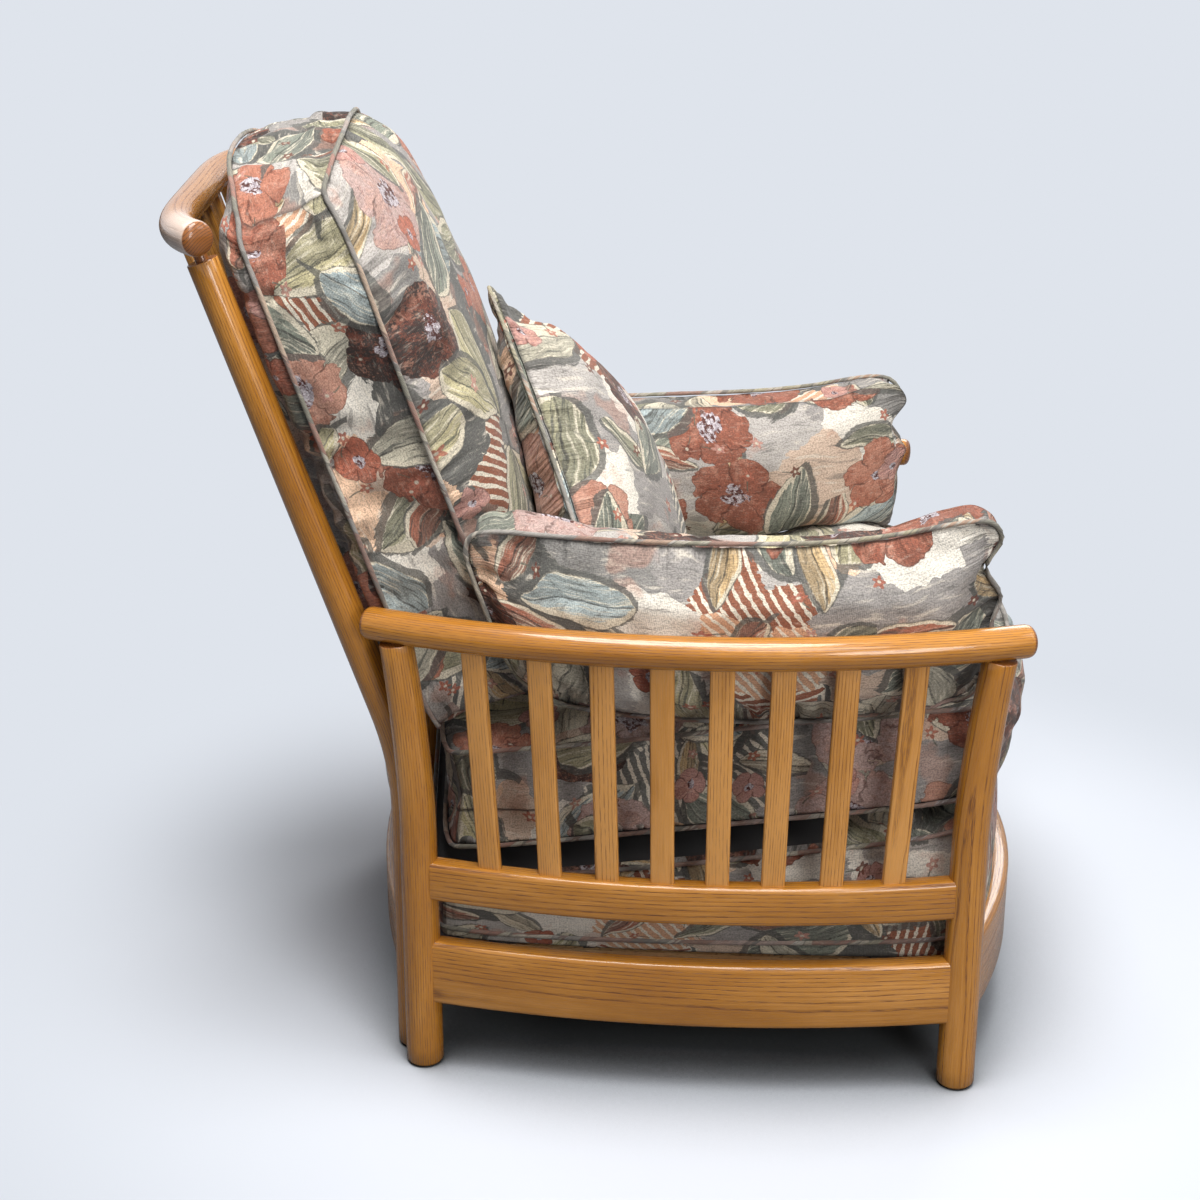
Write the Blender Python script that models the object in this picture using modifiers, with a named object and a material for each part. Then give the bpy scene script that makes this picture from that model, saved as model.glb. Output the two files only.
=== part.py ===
"""Easy chair with bowed, slatted ash arms, swept back posts and loose cushions.

Metres, +Z up. The chair faces -Y and stands on z = 0, X runs across it, and the
origin is on the floor under the middle of the chair.
"""
import math

import bmesh
import bpy
from mathutils import Matrix, Vector

# Where the feet stand
FRONT_LEG_X = 0.357
REAR_LEG_X = 0.283
FRONT_LEG_Y = -0.3694
REAR_LEG_Y = 0.2296
POST_SET_BACK = 0.0115

# Round members: radii at the foot, at the waist and at the top
LEG_FOOT_R = 0.0212
LEG_TOP_R = 0.0184
POST_FOOT_R = 0.0208
POST_TOP_R = 0.0165
ARM_RAIL_R = 0.0180
TOP_RAIL_R = 0.0170
FOOT_CHAMFER = 0.0045
TENON_R = 0.0070
TENON_LENGTH = 0.0170

# Arm frames: heights, bows and the lean of the leg tops
ARM_RAIL_Z = 0.5325
ARM_RAIL_FRONT_REACH = 0.053
ARM_RAIL_REAR_REACH = 0.053
ARM_RAIL_SAG = 0.066
ARM_RAIL_TUCK = 0.0075
LOWER_RAIL_LOW = 0.081
LOWER_RAIL_HEIGHT = 0.0775
LOWER_RAIL_SAG = 0.032
MIDDLE_RAIL_LOW = 0.2115
MIDDLE_RAIL_HEIGHT = 0.046
MIDDLE_RAIL_SAG = 0.038
RAIL_THICK = 0.025
RAIL_ROUND = 0.006
LEAN_START_Z = 0.30
FRONT_LEG_LEAN = 0.0205
REAR_LEG_LEAN = 0.019

# Slats
ARM_SLATS = 8
BACK_SLATS = 6
SLAT_WIDTH = 0.026
SLAT_THICK = 0.010
SLAT_ROUND = 0.003
SLAT_MORTISE = 0.010
ARM_SLAT_SPREAD = 0.220
ARM_SLAT_FAN = 1.06
BACK_SLAT_PITCH = 0.0692

# Front and back rails
FRONT_RAIL_HEIGHT = 0.094
FRONT_RAIL_SAG = 0.1025
BACK_LOW_RAIL_SAG = 0.029
BACK_MID_RAIL_LOW = 0.285
BACK_MID_RAIL_HEIGHT = 0.045
BACK_MID_RAIL_SAG = 0.026
POST_BEND_Z = 0.359
POST_BEND_REACH = 0.062
POST_RAKE = 0.3420
TOP_RAIL_Z = 0.9453
TOP_RAIL_HALF = 0.279
TOP_RAIL_SET_BACK = 0.0075
TOP_RAIL_HOOK = 0.041
TOP_RAIL_HOOK_POWER = 5.5

# Seat frame under the upholstered base
BEARER_THICK = 0.020
BEARER_LOW = 0.092
BEARER_HEIGHT = 0.045
BEARER_END_ROOM = 0.010
STRAPS = 5
STRAP_WIDTH = 0.050
STRAP_THICK = 0.0025

# Bolts that hold each back post to its arm frame
BOLT_R = 0.0040
BOLT_HEAD_R = 0.0090
BOLT_HEAD_HEIGHT = 0.0045
BOLT_BITE = 0.014
BOLT_HEIGHTS = (0.185, 0.255)

# Upholstered base and seat cushion
SEAT_FRONT_Z = 0.336
SEAT_SLOPE = 0.146
SEAT_BORDER = 0.112
SEAT_CROWN = 0.030
SEAT_FRONT_CLEAR = 0.0058
SEAT_REAR_CLEAR = 0.0038
SEAT_NOSE = 0.118
SEAT_POST_CLEAR = 0.0177
SEAT_NOSE_DROP = 0.014
SEAT_NOSE_BACK = 0.022
BASE_FRONT_OVERHANG = 0.022
BASE_POST_CLEAR = 0.0037
BASE_SIDE_BULGE = 0.020
BASE_SIDE_DROP = 0.040

# Back cushion
BACK_HALF = 0.268
BACK_TOP_HALF = 0.238
BACK_ABOVE_RAIL = 0.026
BACK_BOTTOM_CROWN = 0.016
BACK_BORDER = 0.098
BACK_FRONT_CROWN = 0.078
BACK_REAR_CROWN = 0.050
BACK_TOP_CROWN = 0.036
BACK_ABOVE_SEAT = 0.016
BACK_LEAN_GAP = 0.035
BACK_CORNER_DRAW = 0.030
BACK_CORNER_DROP = 0.020
BACK_FAR_CORNER = 0.35

# Arm cushions
ARM_PAD_FRONT = -0.022
ARM_PAD_REAR = 0.560
ARM_PAD_EDGE = 0.044
ARM_PAD_MIDDLE = -0.032
ARM_PAD_TURN_IN = 0.038
ARM_PAD_TURN_LENGTH = 0.320
ARM_PAD_CROWN = 0.046
ARM_PAD_LOW_Z = 0.436
ARM_PAD_TOP_Z = 0.624
ARM_PAD_FRONT_LIFT = 0.043
ARM_PAD_REAR_LIFT = 0.022
ARM_PAD_PINCH = 0.026
ARM_PAD_PINCH_AT = 0.333
ARM_PAD_CREST = 0.012

# Scatter cushion, standing on a corner
SCATTER_SIDE = 0.372
SCATTER_CROWN = 0.070
SCATTER_AHEAD = 0.2185
SCATTER_RISE = 0.612
SCATTER_LEAN = 0.470
SCATTER_TURN = -0.120
SCATTER_ROLL = 0.650

# Clearances
GAP = 0.0003
SOFT_GAP = 0.0006
SHOULDER_EASE = 0.0010

UP = Vector((0.0, 0.0, 1.0))
SIDES = ((-1, "right"), (1, "left"))


def clear_scene():
    """Empty the file of the objects that Blender starts with."""
    for thing in list(bpy.data.objects):
        bpy.data.objects.remove(thing)


def finish(name, colour, roughness, metallic=0.0):
    """A plain Principled finish."""
    made = bpy.data.materials.new(name)
    made.use_nodes = True
    made.diffuse_color = (*colour, 1.0)
    shader = made.node_tree.nodes["Principled BSDF"]
    shader.inputs["Base Color"].default_value = (*colour, 1.0)
    shader.inputs["Roughness"].default_value = roughness
    shader.inputs["Metallic"].default_value = metallic
    return made


def collection(name):
    """A collection of its own under the scene."""
    made = bpy.data.collections.new(name)
    bpy.context.scene.collection.children.link(made)
    return made


def put(name, mesh, owner, parent=None, material=None):
    """Place a mesh as an object in the owner collection."""
    piece = bpy.data.objects.new(name, mesh)
    owner.objects.link(piece)
    piece.parent = parent
    if material:
        mesh.materials.append(material)
    if owner is CUTTERS:
        piece.hide_render = True
        piece.display_type = "WIRE"
    return piece


def bevelled(piece, width, segments=2):
    """Round the sharp edges of a piece."""
    made = piece.modifiers.new("rounded_edges", "BEVEL")
    made.width = width
    made.segments = segments
    made.limit_method = "ANGLE"
    made.angle_limit = math.radians(40)
    return piece


def cut(piece, cutter):
    """Cut a piece with a cutter from the cutters collection."""
    made = piece.modifiers.new("cut_" + cutter.name, "BOOLEAN")
    made.operation = "DIFFERENCE"
    made.solver = "EXACT"
    made.object = cutter


def mesh_of_curve(curve, flat=False):
    """The welded mesh of a curve. A flat one gets its flat faces whole."""
    guide = bpy.data.objects.new("guide", curve)
    bpy.context.scene.collection.objects.link(guide)
    ready = guide.evaluated_get(bpy.context.evaluated_depsgraph_get())
    mesh = bpy.data.meshes.new_from_object(ready)
    bpy.data.objects.remove(guide)
    shape = bmesh.new()
    shape.from_mesh(mesh)
    bmesh.ops.remove_doubles(shape, verts=shape.verts, dist=0.00001)
    if flat:
        bmesh.ops.dissolve_limit(shape, angle_limit=0.001, verts=shape.verts, edges=shape.edges)
    bmesh.ops.recalc_face_normals(shape, faces=shape.faces)
    shape.to_mesh(mesh)
    shape.free()
    return mesh


def rod(name, path, radii, owner, parent=None, material=None, sides=20):
    """A round bar along path with its own radius at each point."""
    curve = bpy.data.curves.new(name, "CURVE")
    curve.dimensions = "3D"
    curve.bevel_depth = 1.0
    curve.bevel_resolution = (sides - 4) // 2
    curve.use_fill_caps = True
    spline = curve.splines.new("POLY")
    spline.points.add(len(path) - 1)
    for point, place, radius in zip(spline.points, path, radii):
        point.co = (*place, 1.0)
        point.radius = radius
    mesh = mesh_of_curve(curve)
    mesh.shade_smooth()
    mesh.set_sharp_from_angle(angle=math.radians(35))
    return put(name, mesh, owner, parent, material)


def board(name, outline, low, high, owner, parent=None, material=None):
    """A board with the given plan outline, standing from low to high."""
    curve = bpy.data.curves.new(name, "CURVE")
    curve.dimensions = "2D"
    curve.fill_mode = "BOTH"
    curve.extrude = (high - low) / 2
    spline = curve.splines.new("POLY")
    spline.points.add(len(outline) - 1)
    for point, place in zip(spline.points, outline):
        point.co = (place[0], place[1], 0.0, 1.0)
    spline.use_cyclic_u = True
    piece = put(name, mesh_of_curve(curve, flat=True), owner, parent, material)
    piece.location.z = (low + high) / 2
    return piece


def bowed_outline(middle, half, sag, thick, outward, steps=14):
    """Plan outline of a rail that bows by sag between middle - half and middle + half.

    outward turns a place along the rail and its bow into plan coordinates.
    """
    stations = [middle + half * (2 * i / steps - 1) for i in range(steps + 1)]
    outer = [outward(s, bow(s, middle, half, sag) + thick / 2) for s in stations]
    inner = [outward(s, bow(s, middle, half, sag) - thick / 2) for s in stations]
    return outer + inner[::-1]


def bow(place, middle, half, sag):
    """How far a bowed rail stands out at a place along it."""
    return sag * (1 - ((place - middle) / half) ** 2)


def straight_bar(name, start, end, width, thick, across, owner, parent=None, material=None):
    """A bar from start to end, its width along across, its long edges rounded."""
    along = (end - start).normalized()
    face = along.cross(across).normalized()
    wide = face.cross(along)
    shape = bmesh.new()
    bmesh.ops.create_cube(shape, size=1.0)
    bmesh.ops.scale(shape, vec=(width, thick, (end - start).length), verts=shape.verts)
    long_edges = [e for e in shape.edges if abs(e.verts[0].co.z - e.verts[1].co.z) > thick]
    if material:
        bmesh.ops.bevel(shape, geom=long_edges, offset=SLAT_ROUND, segments=2, affect="EDGES", profile=0.5)
    mesh = bpy.data.meshes.new(name)
    shape.to_mesh(mesh)
    shape.free()
    piece = put(name, mesh, owner, parent, material)
    turn = Matrix((wide, -face, along)).transposed()
    if turn.determinant() < 0:
        turn = Matrix((wide, face, along)).transposed()
    piece.matrix_local = Matrix.Translation((start + end) / 2) @ turn.to_4x4()
    return piece


def domed_ends(path, radius):
    """Path and radii of a round rail with softly domed ends."""
    dome = ((0.0, 0.55), (0.0022, 0.78), (0.0055, 0.93), (0.0105, 1.0))
    start = (path[1] - path[0]).normalized()
    finish_way = (path[-2] - path[-1]).normalized()
    head = [path[0] + start * step for step, _ in dome]
    tail = [path[-1] + finish_way * step for step, _ in dome]
    sizes = [radius * share for _, share in dome]
    clear = dome[-1][0] * 1.5
    middle = [p for p in path[1:-1] if min((p - path[0]).length, (p - path[-1]).length) > clear]
    return head + middle + tail[::-1], sizes + [radius] * len(middle) + sizes[::-1]


def tenoned(name, path, radii, rail_axis, rail_r, rail_way, parent, material, sides=20):
    """A leg that ends in a shoulder under a round rail, with a tenon into it.

    path holds the leg's axis up to the rail's axis. Returns the leg and its mortise cutter.
    """
    rise = (path[-1] - path[-2]).normalized()
    under = path[-1] + rise * (rail_axis - path[-1]).dot(rise)
    slant = abs(rise.dot(rail_way))
    drop = rail_r + radii[-1] * slant / math.sqrt(1 - slant * slant) + GAP
    shoulder = under - rise * drop
    tip = under - rise * (rail_r - TENON_LENGTH)
    step = rise * 0.0001
    leg = rod(
        name,
        path + [shoulder, shoulder + step, tip],
        radii + [radii[-1], TENON_R, TENON_R],
        PIECES,
        parent,
        material,
        sides,
    )
    mortise = rod(
        name + "_mortise",
        [shoulder - rise * 0.002, tip + rise * GAP],
        [TENON_R + GAP] * 2,
        CUTTERS,
        parent,
        sides=12,
    )
    return leg, mortise


def leg_radius(z):
    """Radius of an arm leg at a height."""
    share = z / ARM_RAIL_Z
    return LEG_FOOT_R + (LEG_TOP_R - LEG_FOOT_R) * share ** 2


def arm_leg(name, foot_u, lean, side, frame, rail_axis, rail_way):
    """A leg of an arm frame: upright below, leaning out to the rail above LEAN_START_Z."""
    top_v = rail_axis.x
    heights = [LEAN_START_Z * share for share in (0.5, 0.8, 1.0)]
    heights += [LEAN_START_Z + (ARM_RAIL_Z - LEAN_START_Z) * share for share in (0.25, 0.5, 0.7, 0.82)]
    path = [Vector((0, foot_u, 0)), Vector((0, foot_u, FOOT_CHAMFER))]
    radii = [LEG_FOOT_R - FOOT_CHAMFER, LEG_FOOT_R]
    for z in heights:
        share = max(0.0, (z - LEAN_START_Z) / (ARM_RAIL_Z - LEAN_START_Z)) ** 1.6
        path.append(Vector((top_v * share, foot_u + lean * share, z)))
        radii.append(leg_radius(z))
    return tenoned(name, path, radii, rail_axis, ARM_RAIL_R, rail_way, frame, ASH)


def arm_rail_offset(u):
    """Outward place of the arm rail's axis at u along the arm."""
    middle = (ARM_LENGTH + ARM_RAIL_REAR_REACH - ARM_RAIL_FRONT_REACH) / 2
    half = (ARM_LENGTH + ARM_RAIL_REAR_REACH + ARM_RAIL_FRONT_REACH) / 2
    return bow(u, middle, half, ARM_RAIL_SAG) - ARM_RAIL_TUCK


def arm_slat(side, index, grow):
    """Foot, head and run of a slat of an arm, grown by grow at its ends."""
    t = 2 * index / (ARM_SLATS - 1) - 1
    reach = ARM_SLAT_SPREAD * (0.94 * t + 0.06 * t ** 3)
    foot_u = ARM_LENGTH / 2 + reach
    head_u = ARM_LENGTH / 2 + reach * ARM_SLAT_FAN
    foot_v = bow(foot_u, ARM_LENGTH / 2, ARM_LENGTH / 2, MIDDLE_RAIL_SAG)
    head_v = arm_rail_offset(head_u)
    foot = Vector((side * foot_v, foot_u, MIDDLE_RAIL_LOW + MIDDLE_RAIL_HEIGHT - SLAT_MORTISE - grow))
    head = Vector((side * head_v, head_u, ARM_RAIL_Z - ARM_RAIL_R + SLAT_MORTISE + grow))
    run = Vector((side * (arm_rail_offset(head_u + 0.01) - head_v), 0.01, 0)).normalized()
    return foot, head, run


def slats(names, places, frame, rails, material):
    """Flat slats between two rails, and their mortises in both."""
    for name, (foot, head, run), (foot_in, head_in, _) in zip(names, places(0.0), places(GAP)):
        straight_bar(name, foot, head, SLAT_WIDTH, SLAT_THICK, run, PIECES, frame, material)
        mortise = straight_bar(
            name + "_mortise",
            foot_in,
            head_in,
            SLAT_WIDTH + 2 * GAP,
            SLAT_THICK + 2 * GAP,
            run,
            CUTTERS,
            frame,
        )
        for rail in rails:
            cut(rail, mortise)


def arm_frame(side, word):
    """One side frame: two legs, the bowed arm rail, two bowed rails and their slats."""
    frame = bpy.data.objects.new("arm_frame_" + word, None)
    PIECES.objects.link(frame)
    frame.parent = CHAIR
    frame.location = (side * FRONT_LEG_X, FRONT_LEG_Y, 0)
    frame.rotation_euler.z = side * TOE
    first = -ARM_RAIL_FRONT_REACH
    last = ARM_LENGTH + ARM_RAIL_REAR_REACH
    steps = 14
    path = []
    for i in range(steps + 1):
        u = first + (last - first) * i / steps
        path.append(Vector((side * arm_rail_offset(u), u, ARM_RAIL_Z)))
    path, radii = domed_ends(path, ARM_RAIL_R)
    rail = rod("arm_rail_" + word, path, radii, PIECES, frame, ASH, 22)
    legs = []
    for end, foot_u, lean in (("front", 0.0, -FRONT_LEG_LEAN), ("rear", ARM_LENGTH, REAR_LEG_LEAN)):
        u = foot_u + lean
        axis = Vector((side * arm_rail_offset(u), u, ARM_RAIL_Z))
        way = Vector((side * (arm_rail_offset(u + 0.01) - arm_rail_offset(u)), 0.01, 0)).normalized()
        leg, mortise = arm_leg(end + "_leg_" + word, foot_u, lean, side, frame, axis, way)
        cut(rail, mortise)
        legs.append((leg, foot_u))
    housings = [leg_housing("leg_housing_" + word + str(i), foot_u, frame) for i, (_, foot_u) in enumerate(legs)]
    crossbars = {}
    for kind, low, height, sag in (
        ("lower_rail_", LOWER_RAIL_LOW, LOWER_RAIL_HEIGHT, LOWER_RAIL_SAG),
        ("middle_rail_", MIDDLE_RAIL_LOW, MIDDLE_RAIL_HEIGHT, MIDDLE_RAIL_SAG),
    ):
        outline = bowed_outline(
            ARM_LENGTH / 2, ARM_LENGTH / 2, sag, RAIL_THICK, lambda u, v: (side * v, u)
        )
        piece = board(kind + word, outline, low, low + height, PIECES, frame, ASH)
        bevelled(piece, RAIL_ROUND)
        for housing in housings:
            cut(piece, housing)
        crossbars[kind] = piece
    names = ["arm_slat_%s_%d" % (word, i + 1) for i in range(ARM_SLATS)]
    slats(
        names,
        lambda grow: [arm_slat(side, i, grow) for i in range(ARM_SLATS)],
        frame,
        (rail, crossbars["middle_rail_"]),
        ASH,
    )
    return frame, rail, [leg for leg, _ in legs]


def leg_housing(name, foot_u, frame):
    """The room that a rail leaves round an upright leg."""
    heights = (0.0, LEAN_START_Z * 0.5, LEAN_START_Z)
    path = [Vector((0, foot_u, z)) for z in heights]
    radii = [leg_radius(z) + GAP for z in heights]
    return rod(name, path, radii, CUTTERS, frame)


def post_radius(z):
    """Radius of a back post at a height."""
    return POST_FOOT_R + (POST_TOP_R - POST_FOOT_R) * min(1.0, z / TOP_RAIL_Z) ** 1.3


def post_back(z):
    """How far behind its foot a back post stands at a height, as two runs and a bend between."""
    start = POST_BEND_Z - POST_BEND_REACH
    stop = POST_BEND_Z + POST_BEND_REACH
    if z <= start:
        return 0.0
    if z >= stop:
        return POST_RAKE * (z - POST_BEND_Z)
    return POST_RAKE * (z - start) ** 2 / (4 * POST_BEND_REACH)


def top_rail_back(x):
    """Y of the top rail's axis at x: nearly straight, its last stretch hooked forward."""
    over_post = abs(POST_X / TOP_RAIL_HALF) ** TOP_RAIL_HOOK_POWER
    at_post = POST_Y + post_back(TOP_RAIL_Z) + TOP_RAIL_SET_BACK
    return at_post + TOP_RAIL_HOOK * (over_post - abs(x / TOP_RAIL_HALF) ** TOP_RAIL_HOOK_POWER)


def back_frame():
    """Two swept posts, the hooked top rail, two bowed rails and the back slats."""
    steps = 20
    path = []
    for i in range(steps + 1):
        x = TOP_RAIL_HALF * math.sin(math.pi / 2 * (2 * i / steps - 1))
        path.append(Vector((x, top_rail_back(x), TOP_RAIL_Z)))
    path, radii = domed_ends(path, TOP_RAIL_R)
    top_rail = rod("top_rail", path, radii, PIECES, CHAIR, ASH, 22)
    posts = []
    housings = []
    for side, word in SIDES:
        x = side * POST_X
        axis = Vector((x, top_rail_back(x), TOP_RAIL_Z))
        way = Vector((0.01, top_rail_back(x + 0.01) - top_rail_back(x), 0)).normalized()
        start = POST_BEND_Z - POST_BEND_REACH
        heights = [start * 0.5, start]
        heights += [start + 2 * POST_BEND_REACH * share for share in (0.2, 0.4, 0.6, 0.8, 1.0)]
        straight = TOP_RAIL_Z - heights[-1]
        heights += [heights[-1] + straight * share for share in (0.35, 0.70, 0.90)]
        line = [Vector((x, POST_Y, 0)), Vector((x, POST_Y, FOOT_CHAMFER))]
        sizes = [POST_FOOT_R - FOOT_CHAMFER, POST_FOOT_R]
        for z in heights:
            line.append(Vector((x, POST_Y + post_back(z), z)))
            sizes.append(post_radius(z))
        reach = TOP_RAIL_R + SHOULDER_EASE
        post, mortise = tenoned("back_post_" + word, line, sizes, axis, reach, way, CHAIR, ASH)
        cut(top_rail, mortise)
        posts.append(post)
        room = [line[0]] + line[2:-3]
        radii = [post_radius(p.z) + GAP for p in room]
        housings.append(rod("post_housing_" + word, room, radii, CUTTERS, CHAIR))
    rails = {}
    for name, low, height, sag in (
        ("back_low_rail", LOWER_RAIL_LOW, LOWER_RAIL_HEIGHT, BACK_LOW_RAIL_SAG),
        ("back_mid_rail", BACK_MID_RAIL_LOW, BACK_MID_RAIL_HEIGHT, BACK_MID_RAIL_SAG),
    ):
        outline = bowed_outline(0.0, POST_X, sag, RAIL_THICK, lambda x, out: (x, POST_Y + out))
        piece = board(name, outline, low, low + height, PIECES, CHAIR, ASH)
        bevelled(piece, RAIL_ROUND)
        for housing in housings:
            cut(piece, housing)
        rails[name] = piece
    names = ["back_slat_%d" % (i + 1) for i in range(BACK_SLATS)]
    slats(
        names,
        lambda grow: [back_slat(i, grow) for i in range(BACK_SLATS)],
        CHAIR,
        (top_rail, rails["back_mid_rail"]),
        ASH,
    )
    return posts


def back_slat(index, grow):
    """Foot, head and run of a back slat, grown by grow at its ends."""
    x = BACK_SLAT_PITCH * (index - (BACK_SLATS - 1) / 2)
    foot_y = POST_Y + bow(x, 0.0, POST_X, BACK_MID_RAIL_SAG)
    head_y = top_rail_back(x)
    foot = Vector((x, foot_y, BACK_MID_RAIL_LOW + BACK_MID_RAIL_HEIGHT))
    head = Vector((x, head_y, TOP_RAIL_Z))
    rise = (head - foot).normalized()
    run = Vector((1.0, 0.0, 0.0))
    return foot - rise * (SLAT_MORTISE + grow), head - rise * (TOP_RAIL_R - SLAT_MORTISE - grow), run


def front_rail():
    """The deep bowed rail between the front legs."""
    outline = bowed_outline(
        0.0, FRONT_LEG_X, FRONT_RAIL_SAG, RAIL_THICK, lambda x, out: (x, FRONT_LEG_Y - out), 20
    )
    low = LOWER_RAIL_LOW
    high = low + FRONT_RAIL_HEIGHT
    piece = bevelled(board("front_rail", outline, low, high, PIECES, CHAIR, ASH), RAIL_ROUND)
    for side, word in SIDES:
        x = side * FRONT_LEG_X
        path = [Vector((x, FRONT_LEG_Y, z)) for z in (0.0, LEAN_START_Z * 0.5, LEAN_START_Z)]
        radii = [leg_radius(p.z) + GAP for p in path]
        cut(piece, rod("front_housing_" + word, path, radii, CUTTERS, CHAIR))
    outline = bowed_outline(
        0.0,
        FRONT_LEG_X,
        FRONT_RAIL_SAG,
        RAIL_THICK + 2 * SOFT_GAP,
        lambda x, out: (x, FRONT_LEG_Y - out),
        20,
    )
    return board("front_rail_room", outline, low - SOFT_GAP, high + SOFT_GAP, CUTTERS, CHAIR)


def arm_to_chair(side, u, v, z):
    """A point of an arm frame in the chair's own coordinates."""
    turn = Matrix.Rotation(side * TOE, 3, "Z")
    return Vector((side * FRONT_LEG_X, FRONT_LEG_Y, 0)) + turn @ Vector((side * v, u, z))


def seat_frame():
    """Four bearers inside the rails and the webbing straps across them."""
    high = BEARER_LOW + BEARER_HEIGHT
    near = LEG_FOOT_R + GAP
    ends = []
    for side, word in SIDES:
        front_u = RAIL_THICK / 2 + BEARER_END_ROOM
        rear_u = ARM_LENGTH - LEG_FOOT_R - POST_FOOT_R
        corners = [
            arm_to_chair(side, front_u, -near, 0),
            arm_to_chair(side, rear_u, -near, 0),
            arm_to_chair(side, rear_u, -near - BEARER_THICK, 0),
            arm_to_chair(side, front_u, -near - BEARER_THICK, 0),
        ]
        board("seat_bearer_" + word, corners, BEARER_LOW, high, PIECES, CHAIR, BEECH)
        ends.append((corners[3], corners[2]))
    (right_front, right_rear), (left_front, left_rear) = ends
    slope = (left_front.x - left_rear.x) / (left_rear.y - left_front.y)
    for name, y in (
        ("seat_bearer_front", right_front.y + 0.002),
        ("seat_bearer_rear", right_rear.y - BEARER_THICK - 0.002),
    ):
        reach = [left_front.x - slope * (at - left_front.y) - GAP for at in (y, y + BEARER_THICK)]
        corners = [(-reach[0], y), (reach[0], y), (reach[1], y + BEARER_THICK), (-reach[1], y + BEARER_THICK)]
        board(name, corners, BEARER_LOW, high, PIECES, CHAIR, BEECH)
    run = left_rear.y - left_front.y
    for i in range(STRAPS):
        y = left_front.y + run * (i + 0.5) / STRAPS
        reach = left_front.x - slope * (y + STRAP_WIDTH / 2 - left_front.y) + BEARER_THICK * 0.8
        corners = [
            (-reach, y - STRAP_WIDTH / 2),
            (reach, y - STRAP_WIDTH / 2),
            (reach, y + STRAP_WIDTH / 2),
            (-reach, y + STRAP_WIDTH / 2),
        ]
        board("seat_strap_%d" % (i + 1), corners, high + GAP, high + GAP + STRAP_THICK, PIECES, CHAIR, WEBBING)
    return high + 2 * GAP + STRAP_THICK


def post_bolts(posts, legs):
    """Two bolts a side through the back post into the rear arm leg."""
    for side, word in SIDES:
        post_at = Vector((side * POST_X, POST_Y, 0))
        leg_at = arm_to_chair(side, ARM_LENGTH, 0, 0)
        way = (leg_at - post_at).normalized()
        for label, z in zip(("low", "high"), BOLT_HEIGHTS):
            seat = post_at - way * (post_radius(z) + GAP) + UP * z
            tip = leg_at - way * (leg_radius(z) - BOLT_BITE) + UP * z
            turned_bolt("post_bolt_%s_%s" % (word, label), seat, tip, way)
            bore = rod(
                "bolt_bore_%s_%s" % (word, label),
                [seat - way * 0.004, tip + way * GAP],
                [BOLT_R + GAP] * 2,
                CUTTERS,
                CHAIR,
                sides=12,
            )
            cut(posts[word], bore)
            cut(legs[word], bore)


def turned_bolt(name, seat, tip, way):
    """A bolt with a low domed head, turned about its own axis."""
    length = (tip - seat).length
    rise = BOLT_HEAD_HEIGHT
    profile = [
        (0.0, rise),
        (BOLT_HEAD_R * 0.5, rise * 0.92),
        (BOLT_HEAD_R * 0.85, rise * 0.55),
        (BOLT_HEAD_R, 0.0),
        (BOLT_R, 0.0),
        (BOLT_R, -length + BOLT_R * 0.4),
        (BOLT_R * 0.6, -length),
        (0.0, -length),
    ]
    mesh = bpy.data.meshes.new(name)
    edges = [(i, i + 1) for i in range(len(profile) - 1)]
    mesh.from_pydata([(r, 0.0, z) for r, z in profile], edges, [])
    piece = put(name, mesh, PIECES, CHAIR, STEEL)
    screw = piece.modifiers.new("turned", "SCREW")
    screw.steps = 12
    screw.render_steps = 12
    screw.use_merge_vertices = True
    screw.merge_threshold = 0.0001
    piece.location = seat
    piece.rotation_euler = (-way).to_track_quat("Z", "Y").to_euler()
    return piece


def soft_block(name, place, owner, material=None, cells=(6, 6), crease=0.55, corner=0.0):
    """A soft body: a box cage set by place(a, b, c), each from -1 to 1, and smoothed.

    The seams run round the faces c = -1 and c = 1, the corners between them are rounder.
    """
    shape = bmesh.new()
    bmesh.ops.create_cube(shape, size=2.0)
    for axis, count in enumerate((cells[0], cells[1], 2)):
        along = [e for e in shape.edges if abs(e.verts[0].co[axis] - e.verts[1].co[axis]) > 0.001]
        bmesh.ops.subdivide_edges(shape, edges=along, cuts=count - 1, use_grid_fill=True)
    sharp = shape.edges.layers.float.new("crease_edge")
    for edge in shape.edges:
        on_face = all(abs(abs(v.co.z) - 1) < 1e-4 for v in edge.verts)
        rims = sum(
            all(abs(v.co[axis] - way) < 1e-4 for v in edge.verts) for axis in (0, 1) for way in (-1, 1)
        )
        if on_face and rims:
            edge[sharp] = crease
        elif rims == 2:
            edge[sharp] = corner
    for vert in shape.verts:
        vert.co = place(*vert.co)
    bmesh.ops.recalc_face_normals(shape, faces=shape.faces)
    if shape.calc_volume(signed=True) < 0:
        bmesh.ops.reverse_faces(shape, faces=shape.faces)
    mesh = bpy.data.meshes.new(name)
    shape.to_mesh(mesh)
    shape.free()
    mesh.shade_smooth()
    piece = put(name, mesh, owner, CHAIR, material)
    smooth = piece.modifiers.new("soft", "SUBSURF")
    smooth.levels = 1
    smooth.render_levels = 1
    return piece


def dome(a, b, power=0.6):
    """Share of a crown at a place on a cushion face."""
    return (max(0.0, 1 - a * a) * max(0.0, 1 - b * b)) ** power


def rim(a, limit=0.99):
    """The way out of a rim row, or 0 off the rim."""
    return math.copysign(1.0, a) if abs(a) > limit else 0.0


def seat_low(y):
    """Height of the plane between the base and the seat cushion."""
    return SEAT_FRONT_Z - SEAT_SLOPE * (y - FRONT_LEG_Y)


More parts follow.
